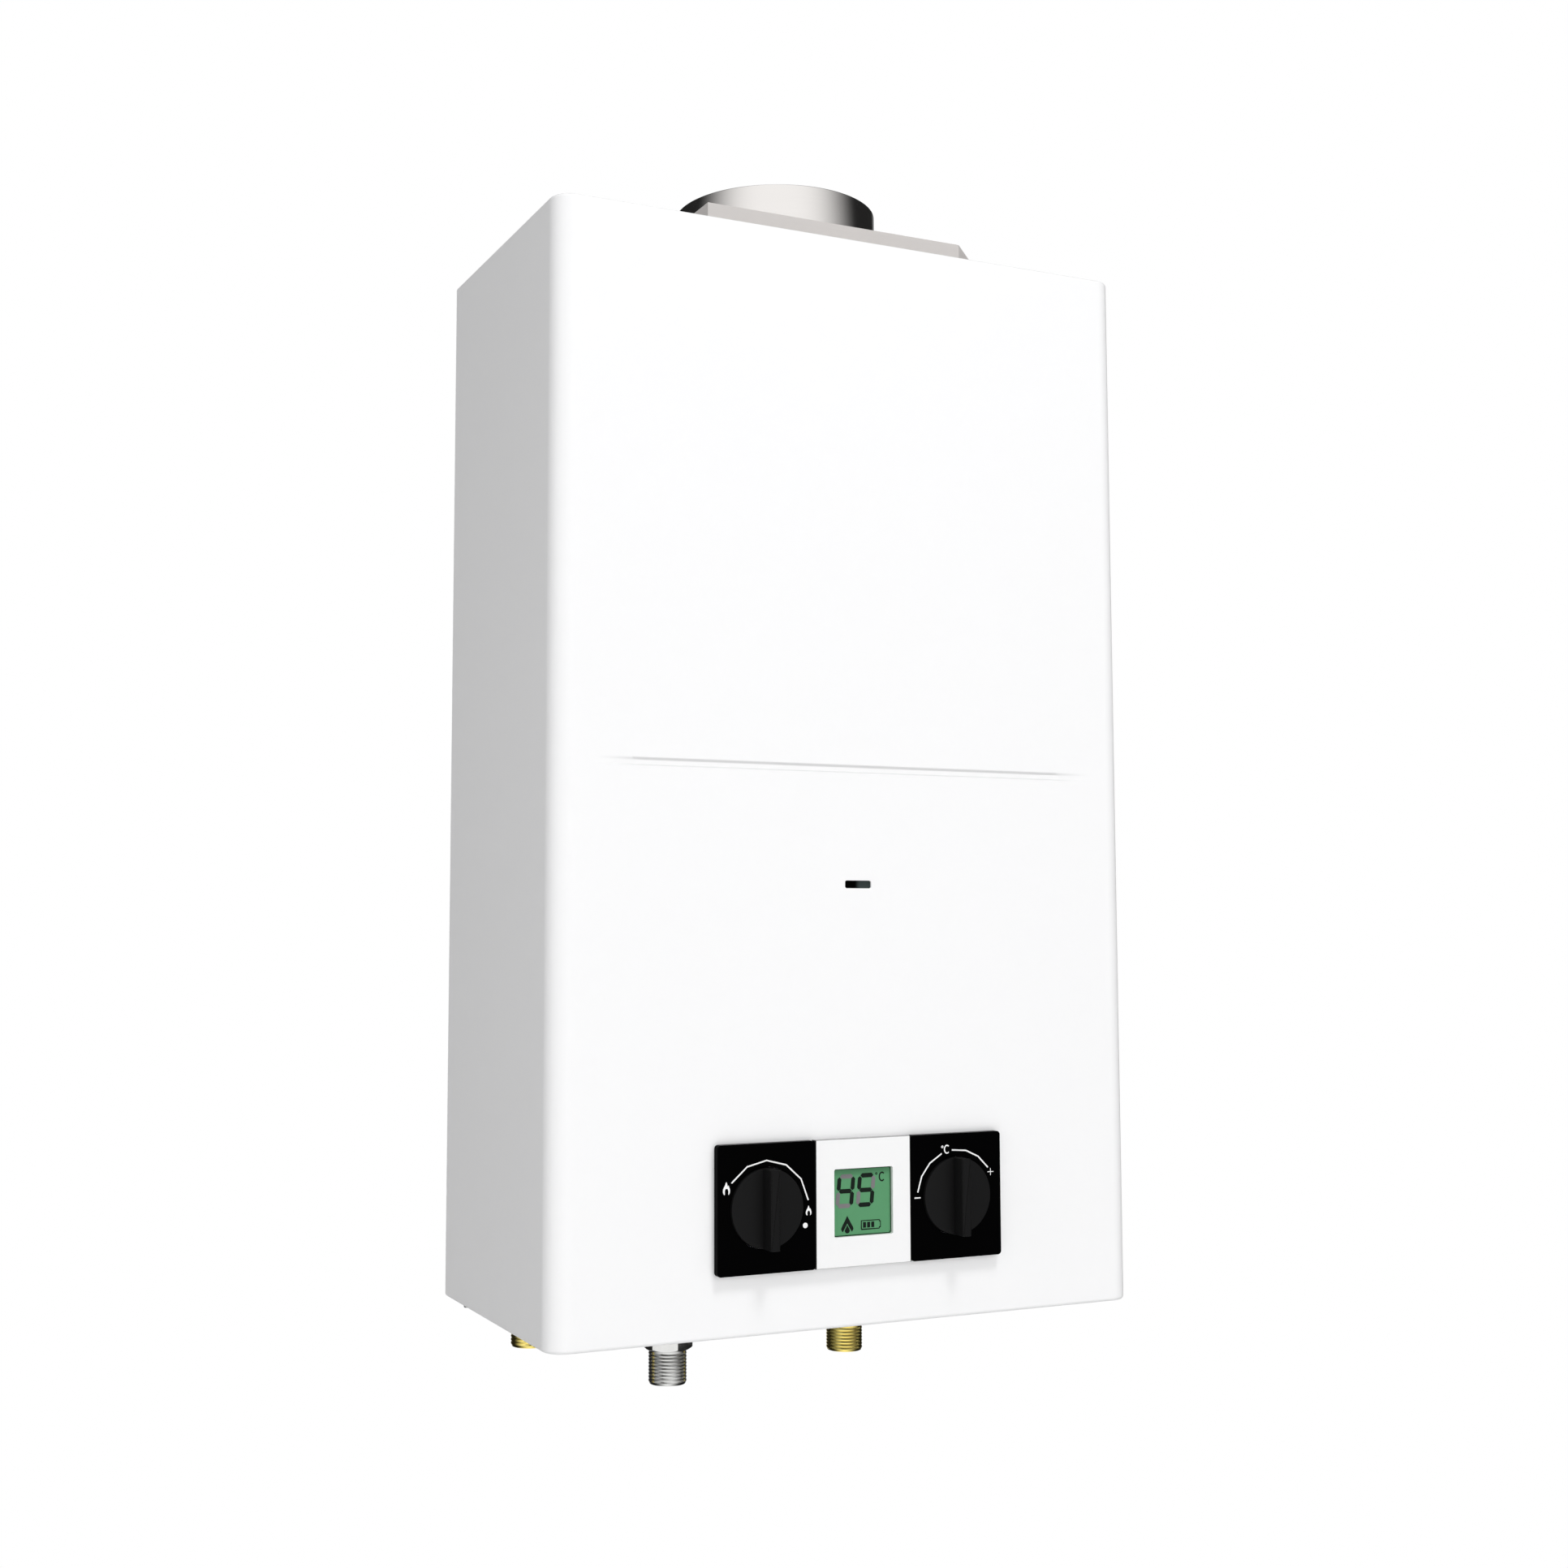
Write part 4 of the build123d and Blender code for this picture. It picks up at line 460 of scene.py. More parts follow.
def effect_group():
    """The shared effect: soft colour drift, fine grain and their height, from object coordinates."""
    group = bpy.data.node_groups.get("surface character")
    if group:
        return group
    group = bpy.data.node_groups.new("surface character", "ShaderNodeTree")
    numbers = ("Drift scale", "Grain scale", "Stretch X", "Stretch Y", "Stretch Z", "Roughness",
               "Roughness spread")
    for names, way, kind in (
        (("Colour", "Second colour"), "INPUT", "NodeSocketColor"),
        (numbers, "INPUT", "NodeSocketFloat"),
        (("Colour",), "OUTPUT", "NodeSocketColor"),
        (("Roughness", "Height"), "OUTPUT", "NodeSocketFloat"),
    ):
        for name in names:
            group.interface.new_socket(name, in_out=way, socket_type=kind)
    graph = Graph(group)
    given = graph.add("NodeGroupInput").outputs
    here = graph.add("ShaderNodeTexCoord").outputs["Object"]
    stretch = graph.add("ShaderNodeCombineXYZ", {axis: given["Stretch " + axis] for axis in "XYZ"})
    stretched = graph.vector("MULTIPLY", here, stretch.outputs[0])[0]
    values = {"Detail": 3, "Vector": here, "Scale": given["Drift scale"]}
    drift = graph.add("ShaderNodeTexNoise", values).outputs["Fac"]
    values = {"Detail": 4, "Vector": stretched, "Scale": given["Grain scale"]}
    grain = graph.add("ShaderNodeTexNoise", values).outputs["Fac"]
    both = graph.maths("MULTIPLY_ADD", grain, 0.5, graph.maths("MULTIPLY", drift, 0.5))
    values = {"Factor": both, "A": given["Colour"], "B": given["Second colour"]}
    mix = graph.add("ShaderNodeMix", values, data_type="RGBA")
    rough = graph.maths("MULTIPLY_ADD", both, given["Roughness spread"], given["Roughness"])
    graph.add("NodeGroupOutput", {"Colour": mix.outputs["Result"], "Roughness": rough, "Height": grain})
    return group


def finish(name):
    """The named finish, made when it is first asked for: the shared effect in a Principled shader."""
    material = bpy.data.materials.get(name)
    if material:
        return material
    colour, second, roughness, spread, metallic, more = FINISHES[name]
    look = {**PLAIN_LOOK, **more}
    if isinstance(colour, str):
        colour = tuple(getattr(bpy.context.scene.heater_colours, colour))
        second = darker(colour, second)
    material = bpy.data.materials.new(name)
    material.use_nodes = True
    graph = Graph(material.node_tree)
    values = {"Stretch " + axis: value for axis, value in zip("XYZ", look["stretch"])}
    values.update({"Colour": (*colour, 1), "Second colour": (*second, 1), "Drift scale": look["drift"],
                   "Grain scale": look["grain"], "Roughness": roughness, "Roughness spread": spread})
    effect = graph.add("ShaderNodeGroup", values, node_tree=effect_group()).outputs
    values = {"Strength": BUMP_STRENGTH, "Distance": look["bump"], "Height": effect["Height"]}
    bump = graph.add("ShaderNodeBump", values)
    graph.feed(graph.nodes["Principled BSDF"], {
        "Base Color": effect["Colour"],
        "Roughness": effect["Roughness"],
        "Normal": bump.outputs["Normal"],
        "Metallic": metallic,
        "Coat Weight": look["coat"],
        "Coat Roughness": look["coat_roughness"],
        "Specular IOR Level": look["specular"],
    })
    if look["detail"]:
        look["detail"](graph)
    return material


def darker(colour, share):
    """The same colour with less light in it."""
    return tuple(value * share for value in colour)


# Each line of painted shade along the groove's crease: side of its middle, offset from the rim there, half
# width, depth of tone
GROOVE_SHADE_LINES = ((1, -0.0001, 0.0011, 0.20), (-1, 0.0002, 0.0006, 0.17))
GROOVE_FADE = 0.03


def groove_painted_shade(graph):
    """Painted shade: greyer enamel along both lines of the groove, where its crease is shaded, on the front
    alone and faded at the ends.
    """
    sizes = bpy.context.scene.heater_casing
    middle, end = CASING_LOW.z + sizes.groove_height, sizes.groove_length / 2
    x, y, z = graph.position()
    lines = []
    for side, offset, spread, tone in GROOVE_SHADE_LINES:
        away = graph.maths("SUBTRACT", z, middle + side * sizes.groove_width / 2 + offset)
        lines.append(graph.ramp(graph.maths("ABSOLUTE", away), spread, 0.0, tone))
    ends = graph.ramp(graph.maths("ABSOLUTE", x), end, end - GROOVE_FADE, 1.0)
    front = graph.ramp(y, CASING_LOW.y + 20 * HAIR, CASING_LOW.y + 10 * HAIR, 1.0)
    share = graph.maths("MULTIPLY", graph.maths("MAXIMUM", *lines), ends)
    graph.overlay("groove mix", (0, 0, 0), graph.maths("MULTIPLY", share, front))


# Share of black round the inlays, and share of painted shade along the white middle's upper and lower edge
RIM_BLACK, RIM_PAINTED_SHADE = 0.995, 0.62


def rim_black_and_painted_shade(graph):
    """Black round the inlays, the panel's own colour, and painted shade: a grey outer edge above and below
    the white middle, for the shadow where it meets the casing.
    """
    x, y, z = graph.position()
    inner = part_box("panel_body")[1].x / 3
    tall = (INLAY_HIGH.z - INLAY_LOW.z) / 2
    level = graph.maths("ABSOLUTE", graph.maths("SUBTRACT", z, PANEL_MIDDLE))
    ends = graph.ramp(graph.maths("ABSOLUTE", x), inner + 2 * HAIR, inner + 4 * HAIR, RIM_BLACK)
    # Painted shade along the upper and lower edge
    edge = graph.ramp(level, tall - 3 * HAIR, tall - HAIR, RIM_PAINTED_SHADE)
    front = graph.ramp(y, CASING_LOW.y + 2 * HAIR, CASING_LOW.y + HAIR, 1.0)
    share = graph.maths("MULTIPLY", graph.maths("MAXIMUM", ends, edge), front)
    graph.overlay("rim mix", (0.001, 0.001, 0.001), share)


# Painted shade from the display's recess, at its sides and top: start, end, share of the darker green
DISPLAY_SHADE_SIDES = (0.0160, 0.0182, 0.55)
DISPLAY_SHADE_TOP = (0.0135, 0.0180, 0.75)
DISPLAY_SHADE_DARK = 0.35


def display_painted_shade(graph):
    """Painted shade: darkens the lit display towards its sides and its upper edge, as the recess round it
    shades them.
    """
    x, _, z = graph.position()
    sides = graph.ramp(graph.maths("ABSOLUTE", x), *DISPLAY_SHADE_SIDES, kind="LINEAR")
    first, last, most = DISPLAY_SHADE_TOP
    upper = graph.ramp(z, PANEL_MIDDLE + first, PANEL_MIDDLE + last, most, kind="LINEAR")
    base = tuple(bpy.context.scene.heater_colours.display)
    graph.overlay("shade mix", darker(base, DISPLAY_SHADE_DARK), graph.maths("MAXIMUM", sides, upper))


# Painted light: the dim grey-green of the lit burner space seen through the sight glass, and the width of
# its fade
SIGHT_PAINTED_LIGHT = (0.036, 0.046, 0.046)
SIGHT_LIGHT_FADE = 0.0012


def glass_painted_light(graph):
    """Painted light: a dim grey-green right half, for the lit burner space that shows through the glass."""
    x = graph.position()[0]
    graph.overlay("glow mix", SIGHT_PAINTED_LIGHT, graph.ramp(x, -SIGHT_LIGHT_FADE, SIGHT_LIGHT_FADE, 1.0, kind="LINEAR"))


BUMP_STRENGTH = 0.6
PLAIN_LOOK = {
    "drift": 6.0, "grain": 400.0, "stretch": (1, 1, 1), "bump": 0.0002, "coat": 0.0, "coat_roughness": 0.05,
    "specular": 0.5, "detail": None,
}

# Colour, second colour, roughness, its spread, metal, and what differs from the plain look. A colour by
# its setting's name has as second colour a darker share of itself.
FINISHES = {
    # The enamel's detail is painted shade along the groove
    "white enamel": ("enamel", 0.985, 0.34, 0.05, 0.0, dict(
        grain=260, bump=0.00002, coat=0.25, coat_roughness=0.12, specular=0.35, detail=groove_painted_shade)),
    # The moulding's detail paints its black ends and painted shade along its upper and lower edge
    "white moulding": ((0.89, 0.89, 0.89), (0.86, 0.86, 0.865), 0.38, 0.08, 0.0, dict(
        grain=1500, bump=0.00003, detail=rim_black_and_painted_shade)),
    "black inlay": ("inlay", 0.6, 0.22, 0.05, 0.0, dict(grain=900, bump=0.000006, specular=0.01)),
    "knob plastic": ("knob", 0.8, 0.55, 0.1, 0.0, dict(grain=2600, bump=0.00002, specular=0.12)),
    "mark white": ((0.93, 0.93, 0.93), (0.86, 0.86, 0.86), 0.5, 0.1, 0.0, dict(grain=4000, bump=0.00001)),
    # The display's detail is painted shade from its recess
    "display green": ("display", 0.9, 0.45, 0.05, 0.0, dict(
        grain=5000, bump=0.000005, specular=0.2, detail=display_painted_shade)),
    "segment on": ((0.004, 0.008, 0.006), (0.008, 0.014, 0.010), 0.4, 0.05, 0.0, dict(
        grain=6000, specular=0.1)),
    # Painted shade: the liner's dark green stands in for the shadow round the display
    "liner dark": ((0.010, 0.035, 0.016), (0.008, 0.028, 0.012), 0.5, 0.1, 0.0, dict(
        grain=900, bump=0.00001, specular=0.1)),
    "segment off": ((0.20, 0.19, 0.20), (0.17, 0.165, 0.17), 0.45, 0.05, 0.0, dict(
        grain=6000, specular=0.2)),
    # The glass's detail is painted light: the lit burner space in its right half
    "smoked glass": ((0.0003, 0.0003, 0.0003), (0.0006, 0.0006, 0.0006), 0.12, 0.04, 0.0, dict(
        drift=60, grain=80, bump=0.00001, specular=0.008, detail=glass_painted_light)),
    "satin sheet": ("hood", 0.93, 0.50, 0.12, 0.12, dict(
        drift=18, grain=160, stretch=(0.6, 6, 6), bump=0.00003)),
    "polished collar": ((0.83, 0.805, 0.785), (0.78, 0.755, 0.735), 0.12, 0.06, 1.0, dict(
        drift=10, grain=60, stretch=(0.5, 0.5, 14), bump=0.000006)),
    "galvanised": ((0.56, 0.58, 0.60), (0.42, 0.44, 0.46), 0.36, 0.2, 0.9, dict(
        drift=45, grain=120, bump=0.00004)),
    "zinc plate": ((0.68, 0.68, 0.66), (0.58, 0.58, 0.56), 0.26, 0.12, 1.0, dict(grain=700, bump=0.00003)),
    "spring strip": ((0.62, 0.62, 0.62), (0.50, 0.50, 0.50), 0.3, 0.1, 1.0, dict(
        grain=900, stretch=(1, 1, 8))),
    "turned steel": ((0.58, 0.57, 0.55), (0.46, 0.45, 0.43), 0.3, 0.12, 1.0, dict(
        grain=600, stretch=(1, 6, 1))),
    "nickel plate": ((0.80, 0.80, 0.785), (0.66, 0.66, 0.645), 0.18, 0.06, 1.0, dict(
        grain=300, bump=0.000003)),
    "machined brass": ((1.0, 0.85, 0.28), (0.94, 0.74, 0.20), 0.14, 0.06, 1.0, dict(
        drift=30, grain=300, bump=0.000003)),
    "cast alloy": ((0.50, 0.51, 0.52), (0.38, 0.39, 0.40), 0.48, 0.15, 0.85, dict(drift=30, grain=900)),
    "wound coil": ((0.05, 0.035, 0.03), (0.13, 0.07, 0.04), 0.4, 0.15, 0.2, dict(
        grain=900, stretch=(0.1, 0.1, 4), bump=0.0003)),
    "aluminised tube": ((0.60, 0.60, 0.58), (0.48, 0.48, 0.46), 0.34, 0.15, 0.95, dict(
        grain=300, stretch=(1, 1, 3))),
    "tinted steel": ((0.48, 0.42, 0.34), (0.30, 0.31, 0.38), 0.3, 0.15, 0.95, dict(drift=60)),
    "bare copper": ((0.78, 0.36, 0.22), (0.50, 0.20, 0.12), 0.26, 0.2, 0.95, dict(
        drift=22, grain=260, bump=0.00005)),
    "moulded rubber": ((0.02, 0.02, 0.02), (0.035, 0.035, 0.035), 0.75, 0.1, 0.0, dict(
        grain=1200, bump=0.0001)),
    "nylon mesh": ((0.72, 0.70, 0.60), (0.55, 0.53, 0.44), 0.5, 0.1, 0.0, dict(grain=1400, bump=0.0005)),
    "dark phenolic": ((0.02, 0.02, 0.022), (0.035, 0.033, 0.033), 0.5, 0.1, 0.0, dict(
        grain=1000, bump=0.0001)),
    "glazed alumina": ((0.86, 0.83, 0.75), (0.78, 0.74, 0.66), 0.22, 0.1, 0.0, dict(
        grain=500, bump=0.00005, coat=0.6)),
    "pale moulding": ((0.74, 0.74, 0.70), (0.68, 0.68, 0.65), 0.5, 0.1, 0.0, dict(grain=1300, bump=0.0001)),
    "grey moulding": ((0.05, 0.05, 0.053), (0.07, 0.07, 0.072), 0.5, 0.12, 0.0, dict(
        grain=1300, bump=0.0001)),
    "cell jacket": ((0.05, 0.10, 0.30), (0.04, 0.07, 0.20), 0.3, 0.08, 0.3, dict(
        grain=600, stretch=(1, 1, 0.1))),
    "solder mask": ((0.01, 0.14, 0.05), (0.02, 0.20, 0.08), 0.35, 0.2, 0.0, dict(
        grain=350, bump=0.0001, coat=0.4)),
    "light diffuser": ((0.84, 0.86, 0.80), (0.78, 0.81, 0.75), 0.6, 0.1, 0.0, dict(grain=900)),
}

SLOT_FINISHES = {
    "casing_enamel": "white enamel",
    "galvanised_steel": "galvanised",
    "zinc_steel": "zinc plate",
    "hood_steel": "satin sheet",
    "collar_steel": "polished collar",
    "heat_glass": "smoked glass",
    "white_plastic": "white moulding",
    "black_inlay": "black inlay",
    "knob_plastic": "knob plastic",
    "display_glass": "display green",
    "light_box_plastic": "light diffuser",
    "circuit_board": "solder mask",
    "spindle_steel": "turned steel",
    "nickel": "nickel plate",
    "brass": "machined brass",
    "cast_alloy": "cast alloy",
    "solenoid_steel": "wound coil",
    "gas_tube": "aluminised tube",
    "burner_steel": "tinted steel",
    "copper": "bare copper",
    "rubber": "moulded rubber",
    "filter_mesh": "nylon mesh",
    "switch_plastic": "dark phenolic",
    "spring_steel": "spring strip",
    "ceramic": "glazed alumina",
    "box_plastic": "pale moulding",
    "battery_plastic": "grey moulding",
    "battery_jacket": "cell jacket",
    "baffle_steel": "galvanised",
}


class HEATER_OT_finishes(bpy.types.Operator):
    """Gives every carried-over part its finish"""

    bl_idname = "heater.finishes"
    bl_label = "Finish the carried-over parts"

    def execute(self, context):
        for entry in frame["record"]["subparts"]:
            node = frame["nodes"][entry["node"]]
            material = finish(SLOT_FINISHES[entry["material_slot"]])
            if not node.material_slots:
                node.data.materials.append(material)
            for slot in node.material_slots:
                slot.link = "OBJECT"
                slot.material = material
        return {"FINISHED"}


# Pieces


def neck_outline(margin, height):
    """The hole in the casing's top: square at the left, cut off at 45 degrees at the right."""
    hood = bpy.context.scene.heater_hood
    left = -hood.neck_half_width - margin
    front = HOOD_LOW.y - margin
    corner = margin * (math.sqrt(2) - 1)
    right = hood.neck_half_width + hood.neck_chamfer + margin
    back = CASING_HIGH.y + 0.01
    return [
        (left, back, height),
        (left, front, height),
        (hood.neck_half_width + corner, front, height),
        (right, HOOD_LOW.y + hood.neck_chamfer - corner, height),
        (right, back, height),
    ]


class HEATER_OT_casing(bpy.types.Operator):
    """Models the enamelled casing with its groove, sight slot and openings"""

    bl_idname = "heater.casing"
    bl_label = "Casing"

    def execute(self, context):
        sizes = context.scene.heater_casing
        low, high = CASING_LOW, CASING_HIGH
        shell = block("casing_shell", low, high)

        def upright(a, b):
            return abs(a.z - b.z) > HAIR and max(a.y, b.y) < low.y + HAIR

        def rim(a, b):
            level = abs(a.z - b.z) < HAIR and min(abs(a.z - low.z), abs(a.z - high.z)) < HAIR
            return level and min(a.y, b.y) < high.y - HAIR

        round_edges(shell, upright, sizes.corner_radius, 20)
        round_edges(shell, rim, sizes.edge_radius, 5)
        self.hollow(shell, sizes)
        self.openings(shell, sizes)
        self.groove(shell, sizes)
        smooth(shell, 24)
        finish_modifier(shell, "WEIGHTED_NORMAL", keep_sharp=True, weight=90)
        place(shell, "heater", finish("white enamel"))
        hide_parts("front_casing")
        return {"FINISHED"}

    def hollow(self, shell, sizes):
        """Opens the back and gives the sheet its thickness."""
        choose(shell, "FACE", lambda face: face.normal.y > 0.99)
        bpy.ops.mesh.delete(type="FACE")
        bpy.ops.object.mode_set(mode="OBJECT")
        finish_modifier(shell, "SOLIDIFY", thickness=sizes.sheet, offset=-1)

    def openings(self, shell, sizes):
        """Cuts the underside, the neck's hole, the sight slot and the panel's opening."""
        low, high = CASING_LOW, CASING_HIGH
        margin = sizes.sheet + sizes.edge_radius
        inset = Vector((sizes.flange, sizes.flange, -margin))
        far = (high.x - sizes.flange, high.y + margin, low.z + margin)
        cut(shell, block("underside", low + inset, far))
        neck = neck_outline(sizes.neck_gap, high.z - 2 * margin)
        cut(shell, prism("neck_hole", neck, (0, 0, 4 * margin)))
        middle = Vector((0, low.y, low.z + sizes.window_height))
        reach = Vector((sizes.window_length / 2, margin, sizes.window_opening / 2))
        slot = block("sight_slot", middle - reach, middle + reach)
        round_edges(slot, lambda a, b: abs(a.y - b.y) > margin, sizes.window_corner, 6)
        cut(shell, slot)
        rim = sizes.panel_rim
        first = (INLAY_LOW.x + rim, low.y - margin, INLAY_LOW.z + rim)
        last = (-INLAY_LOW.x - rim, low.y + margin, INLAY_HIGH.z - rim)
        cut(shell, block("panel_opening", first, last))

    def groove(self, shell, sizes):
        """Presses the groove: sloping upper side, flat floor, short lower step, faded at both ends."""
        half = sizes.groove_length / 2
        middle = CASING_LOW.z + sizes.groove_height
        top, foot = middle + sizes.groove_width / 2, middle - sizes.groove_width / 2
        front, lip = CASING_LOW.y - sizes.groove_depth * 3, CASING_LOW.y - HAIR / 10
        steps = 10
        ramp = [half - sizes.groove_ramp * i / steps for i in range(steps + 1)]
        stations = [-x for x in ramp] + list(reversed(ramp))
        points, faces = [], []
        for index, x in enumerate(stations):
            share = min(1.0, (half - abs(x)) / sizes.groove_ramp)
            depth = CASING_LOW.y + sizes.groove_depth * share * share * (3 - 2 * share)
            for y, z in (
                (front, top + sizes.groove_slope * 2),
                (lip, top + sizes.groove_slope / 2),
                (depth, top - sizes.groove_slope / 2),
                (depth, foot + sizes.groove_step),
                (lip, foot),
                (front, foot),
            ):
                points.append((x, y, z))
            around = len(points) // (index + 1)
            base = around * index
            for k in range(around if index else 0):
                after = (k + 1) % around
                faces.append((base - around + k, base - around + after, base + after, base + k))
        faces += [tuple(range(around)), tuple(range(len(points) - around, len(points)))]
        tool = meshed("groove", points, [], faces)
        face_outwards()
        cut(shell, tool)


def polar(centre, radius, degrees):
    """A point on a circle, as (across, up)."""
    angle = math.radians(degrees)
    return (centre[0] + radius * math.cos(angle), centre[1] + radius * math.sin(angle))


class HEATER_OT_collar(bpy.types.Operator):
    """Models the polished flue collar with its rolled lip"""

    bl_idname = "heater.collar"
    bl_label = "Flue collar"

    def execute(self, context):
        sizes = context.scene.heater_hood
        middle = (COLLAR_LOW + COLLAR_HIGH) / 2
        flange_radius = (COLLAR_HIGH.x - COLLAR_LOW.x) / 2
        radius = flange_radius - sizes.flange
        inner = radius - sizes.sheet
        height = COLLAR_HIGH.z - COLLAR_LOW.z
        half = sizes.sheet / 2
        lip = [polar((radius - half, height - half), half, angle) for angle in range(0, 181, 30)]
        waist = radius - sizes.waist
        shoulder = HOOD_HIGH.z - COLLAR_LOW.z + sizes.waist_lift
        profile = [
            (inner, shoulder + sizes.sheet), (inner - sizes.waist, shoulder + sizes.sheet),
            (inner - sizes.waist, 0),
            (flange_radius, 0), (flange_radius, sizes.sheet), (waist, sizes.sheet), (waist, shoulder),
            (radius, shoulder),
        ]
        foot = (middle.x, middle.y, COLLAR_LOW.z)
        collar = turned("flue_spigot", foot, (0, 0, 1), profile + lip, 160)
        smooth(collar, 40)
        place(collar, "heater", finish("polished collar"))
        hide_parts("flue_collar")
        return {"FINISHED"}


def knob_middle(node):
    """The knob's middle as (x, z)."""
    low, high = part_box(node)
    return ((low.x + high.x) / 2, (low.z + high.z) / 2)


class HEATER_OT_knobs(bpy.types.Operator):
    """Models both knobs: a smooth disc with a bar grip across it"""

    bl_idname = "heater.knobs"
    bl_label = "Knobs"

    def execute(self, context):
        for node, body in (("gas_knob", "gas_control"), ("temperature_knob", "temperature_control")):
            self.knob(context.scene.heater_controls, node, body)
        return {"FINISHED"}

    def knob(self, sizes, node, body):
        """One knob in the place of its carried-over part."""
        low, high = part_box(node)
        centre = knob_middle(node)
        face = PANEL_FRONT - sizes.knob_stand
        back = high.y - sizes.knob_depth
        disc_middle = (centre[0], (face + back) / 2, centre[1])
        disc = drum(node + "_disc", disc_middle, (0, -1, 0), sizes.knob_radius, back - face, 160)
        round_edges(disc, lambda a, b: max(a.y, b.y) < face + TOUCH, sizes.knob_edge, 4)
        half = sizes.grip_width / 2
        grip = block(
            node + "_grip",
            (centre[0] - half, low.y, centre[1] - sizes.knob_radius),
            (centre[0] + half, face + sizes.knob_edge, centre[1] + sizes.knob_radius),
        )
        tip = (centre[0], low.y, centre[1])
        trim = drum(node + "_trim", tip, (0, -1, 0), sizes.knob_radius, THROUGH, 160)
        cut(grip, trim, "INTERSECT")
        round_edges(grip, lambda a, b: max(a.y, b.y) < low.y + TOUCH, sizes.grip_edge, 4)
        piece = join(node + "_moulding", [disc, grip])
        smooth(piece, 35)
        place(piece, body, finish("knob plastic"))
        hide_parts(node)


# Each connection: node, material slot, finish and length of its threaded end
CONNECTIONS = (
    ("gas_inlet_fitting", "nickel", "nickel plate", 0.0183),
    ("cold_inlet_fitting", "brass", "machined brass", 0.015),
    ("hot_outlet_fitting", "brass", "machined brass", 0.015),
)
# One ridge: share of the pitch, share of the depth, trim of the radius
RIDGE = (
    (0.08, 0, 0), (0.13, 0.35, 0), (0.36, 1, -0.00012), (0.5, 1, 0), (0.64, 1, -0.00012), (0.87, 0.35, 0),
)


class HEATER_OT_fittings(bpy.types.Operator):
    """Models the three threaded connections"""

    bl_idname = "heater.fittings"
    bl_label = "Threaded connections"

    def execute(self, context):
        for node, slot, look, threaded in CONNECTIONS:
            self.fitting(context.scene.heater_fittings, node, slot, look, threaded)
        return {"FINISHED"}

    def fitting(self, sizes, node, slot, look, threaded):
        """One connection: ridged thread, bored through, hexagon and neck."""
        low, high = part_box(node)
        middle = (low + high) / 2
        foot, seat = (middle.x, middle.y, low.z), (middle.x, middle.y, low.z + threaded)
        top = high.z - low.z
        root = sizes.thread_radius - sizes.thread_depth
        bore, entry = sizes.bore_radius, sizes.entry
        profile = [(bore, entry), (bore + entry, 0), (root - 2 * HAIR, 0)]
        ridges = int((threaded - 10 * HAIR) / sizes.thread_pitch)
        profile += [
            (root + rise * sizes.thread_depth + trim, sizes.thread_lead + (i + along) * sizes.thread_pitch)
            for i in range(ridges)
            for along, rise, trim in RIDGE
        ]
        profile += [
            (root, sizes.thread_lead + ridges * sizes.thread_pitch),
            (root, threaded),
            (sizes.neck_radius, threaded + HAIR),
            (sizes.neck_radius, top),
            (bore, top),
        ]
        stub = turned(node + "_stub", foot, (0, 0, 1), profile)
        smooth(stub, 50)
        hex_top = min(CASING_LOW.z + sizes.hex_hidden - low.z, threaded + sizes.hex_height)
        nut_middle = (middle.x, middle.y, low.z + (threaded + hex_top) / 2)
        across = sizes.across_flats / math.sqrt(3)
        nut = drum(node + "_hexagon", nut_middle, (0, 0, 1), across, hex_top - threaded, 6)
        flat, corner, high_enough = sizes.across_flats / 2 - 3 * HAIR, across + 10 * HAIR, 0.03
        slope = (corner - flat) * math.tan(math.radians(30))
        outline = [(0, 0), (flat, 0), (corner, slope), (corner, high_enough), (0, high_enough)]
        cut(nut, turned(node + "_cone", seat, (0, 0, 1), outline), "INTERSECT")
        cut(nut, drum(node + "_bore", seat, (0, 0, 1), sizes.neck_radius - 2 * HAIR, THROUGH, 64))
        soften(nut, sizes.hex_edge, 2, 40)
        smooth(nut, 30)
        piece = join(node + "_threaded", [stub, nut])
        place(piece, "heater", finish(look))
        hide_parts(node)


# Outline of both flames, as shares of their width and height
FLAME_OUTLINE = [
    (0.02, 0.50), (0.10, 0.30), (0.16, 0.12), (0.24, 0.26), (0.44, 0.02), (0.52, -0.26), (0.32, -0.50),
    (0.24, -0.44), (0.30, -0.22), (0.10, 0.02), (0.00, -0.06), (-0.10, 0.00), (-0.26, -0.22), (-0.20, -0.46),
    (-0.34, -0.50), (-0.54, -0.24), (-0.42, 0.02), (-0.20, 0.22), (-0.10, 0.40),
]
# The dials' lines: knob, name, radius and the angles of their corners
ARCS = (
    ("gas_knob", "gas_scale", 0.0244, (145.4, 117.2, 90.0, 62.2, 34.8, 6.6)),
    ("temperature_knob", "low_scale", 0.0245, (173.2, 152.8, 132.8, 111.9)),
    ("temperature_knob", "high_scale", 0.0245, (96.5, 75.4, 55.4, 34.7)),
)
# The gas dial's marks, from its knob's middle: place, and then width and height or radius
FLAMES = (
    ("large_flame", (-0.0230, 0.0114), 0.0041, 0.0068),
    ("small_flame", (0.0244, -0.0025), 0.0033, 0.0053),
)
OFF_DOT = ((0.0224, -0.0101), 0.00140)
# The temperature dial's short bars: place, reach to each side, reach up and down, share of the line's width
BARS = (
    ("minus", (-0.0245, 0.0), 0.0019, 0, 0.8),
    ("plus_across", (0.0218, 0.0115), 0.0019, 0, 0.5),
    ("plus_up", (0.0218, 0.0115), 0, 0.0019, 0.5),
)
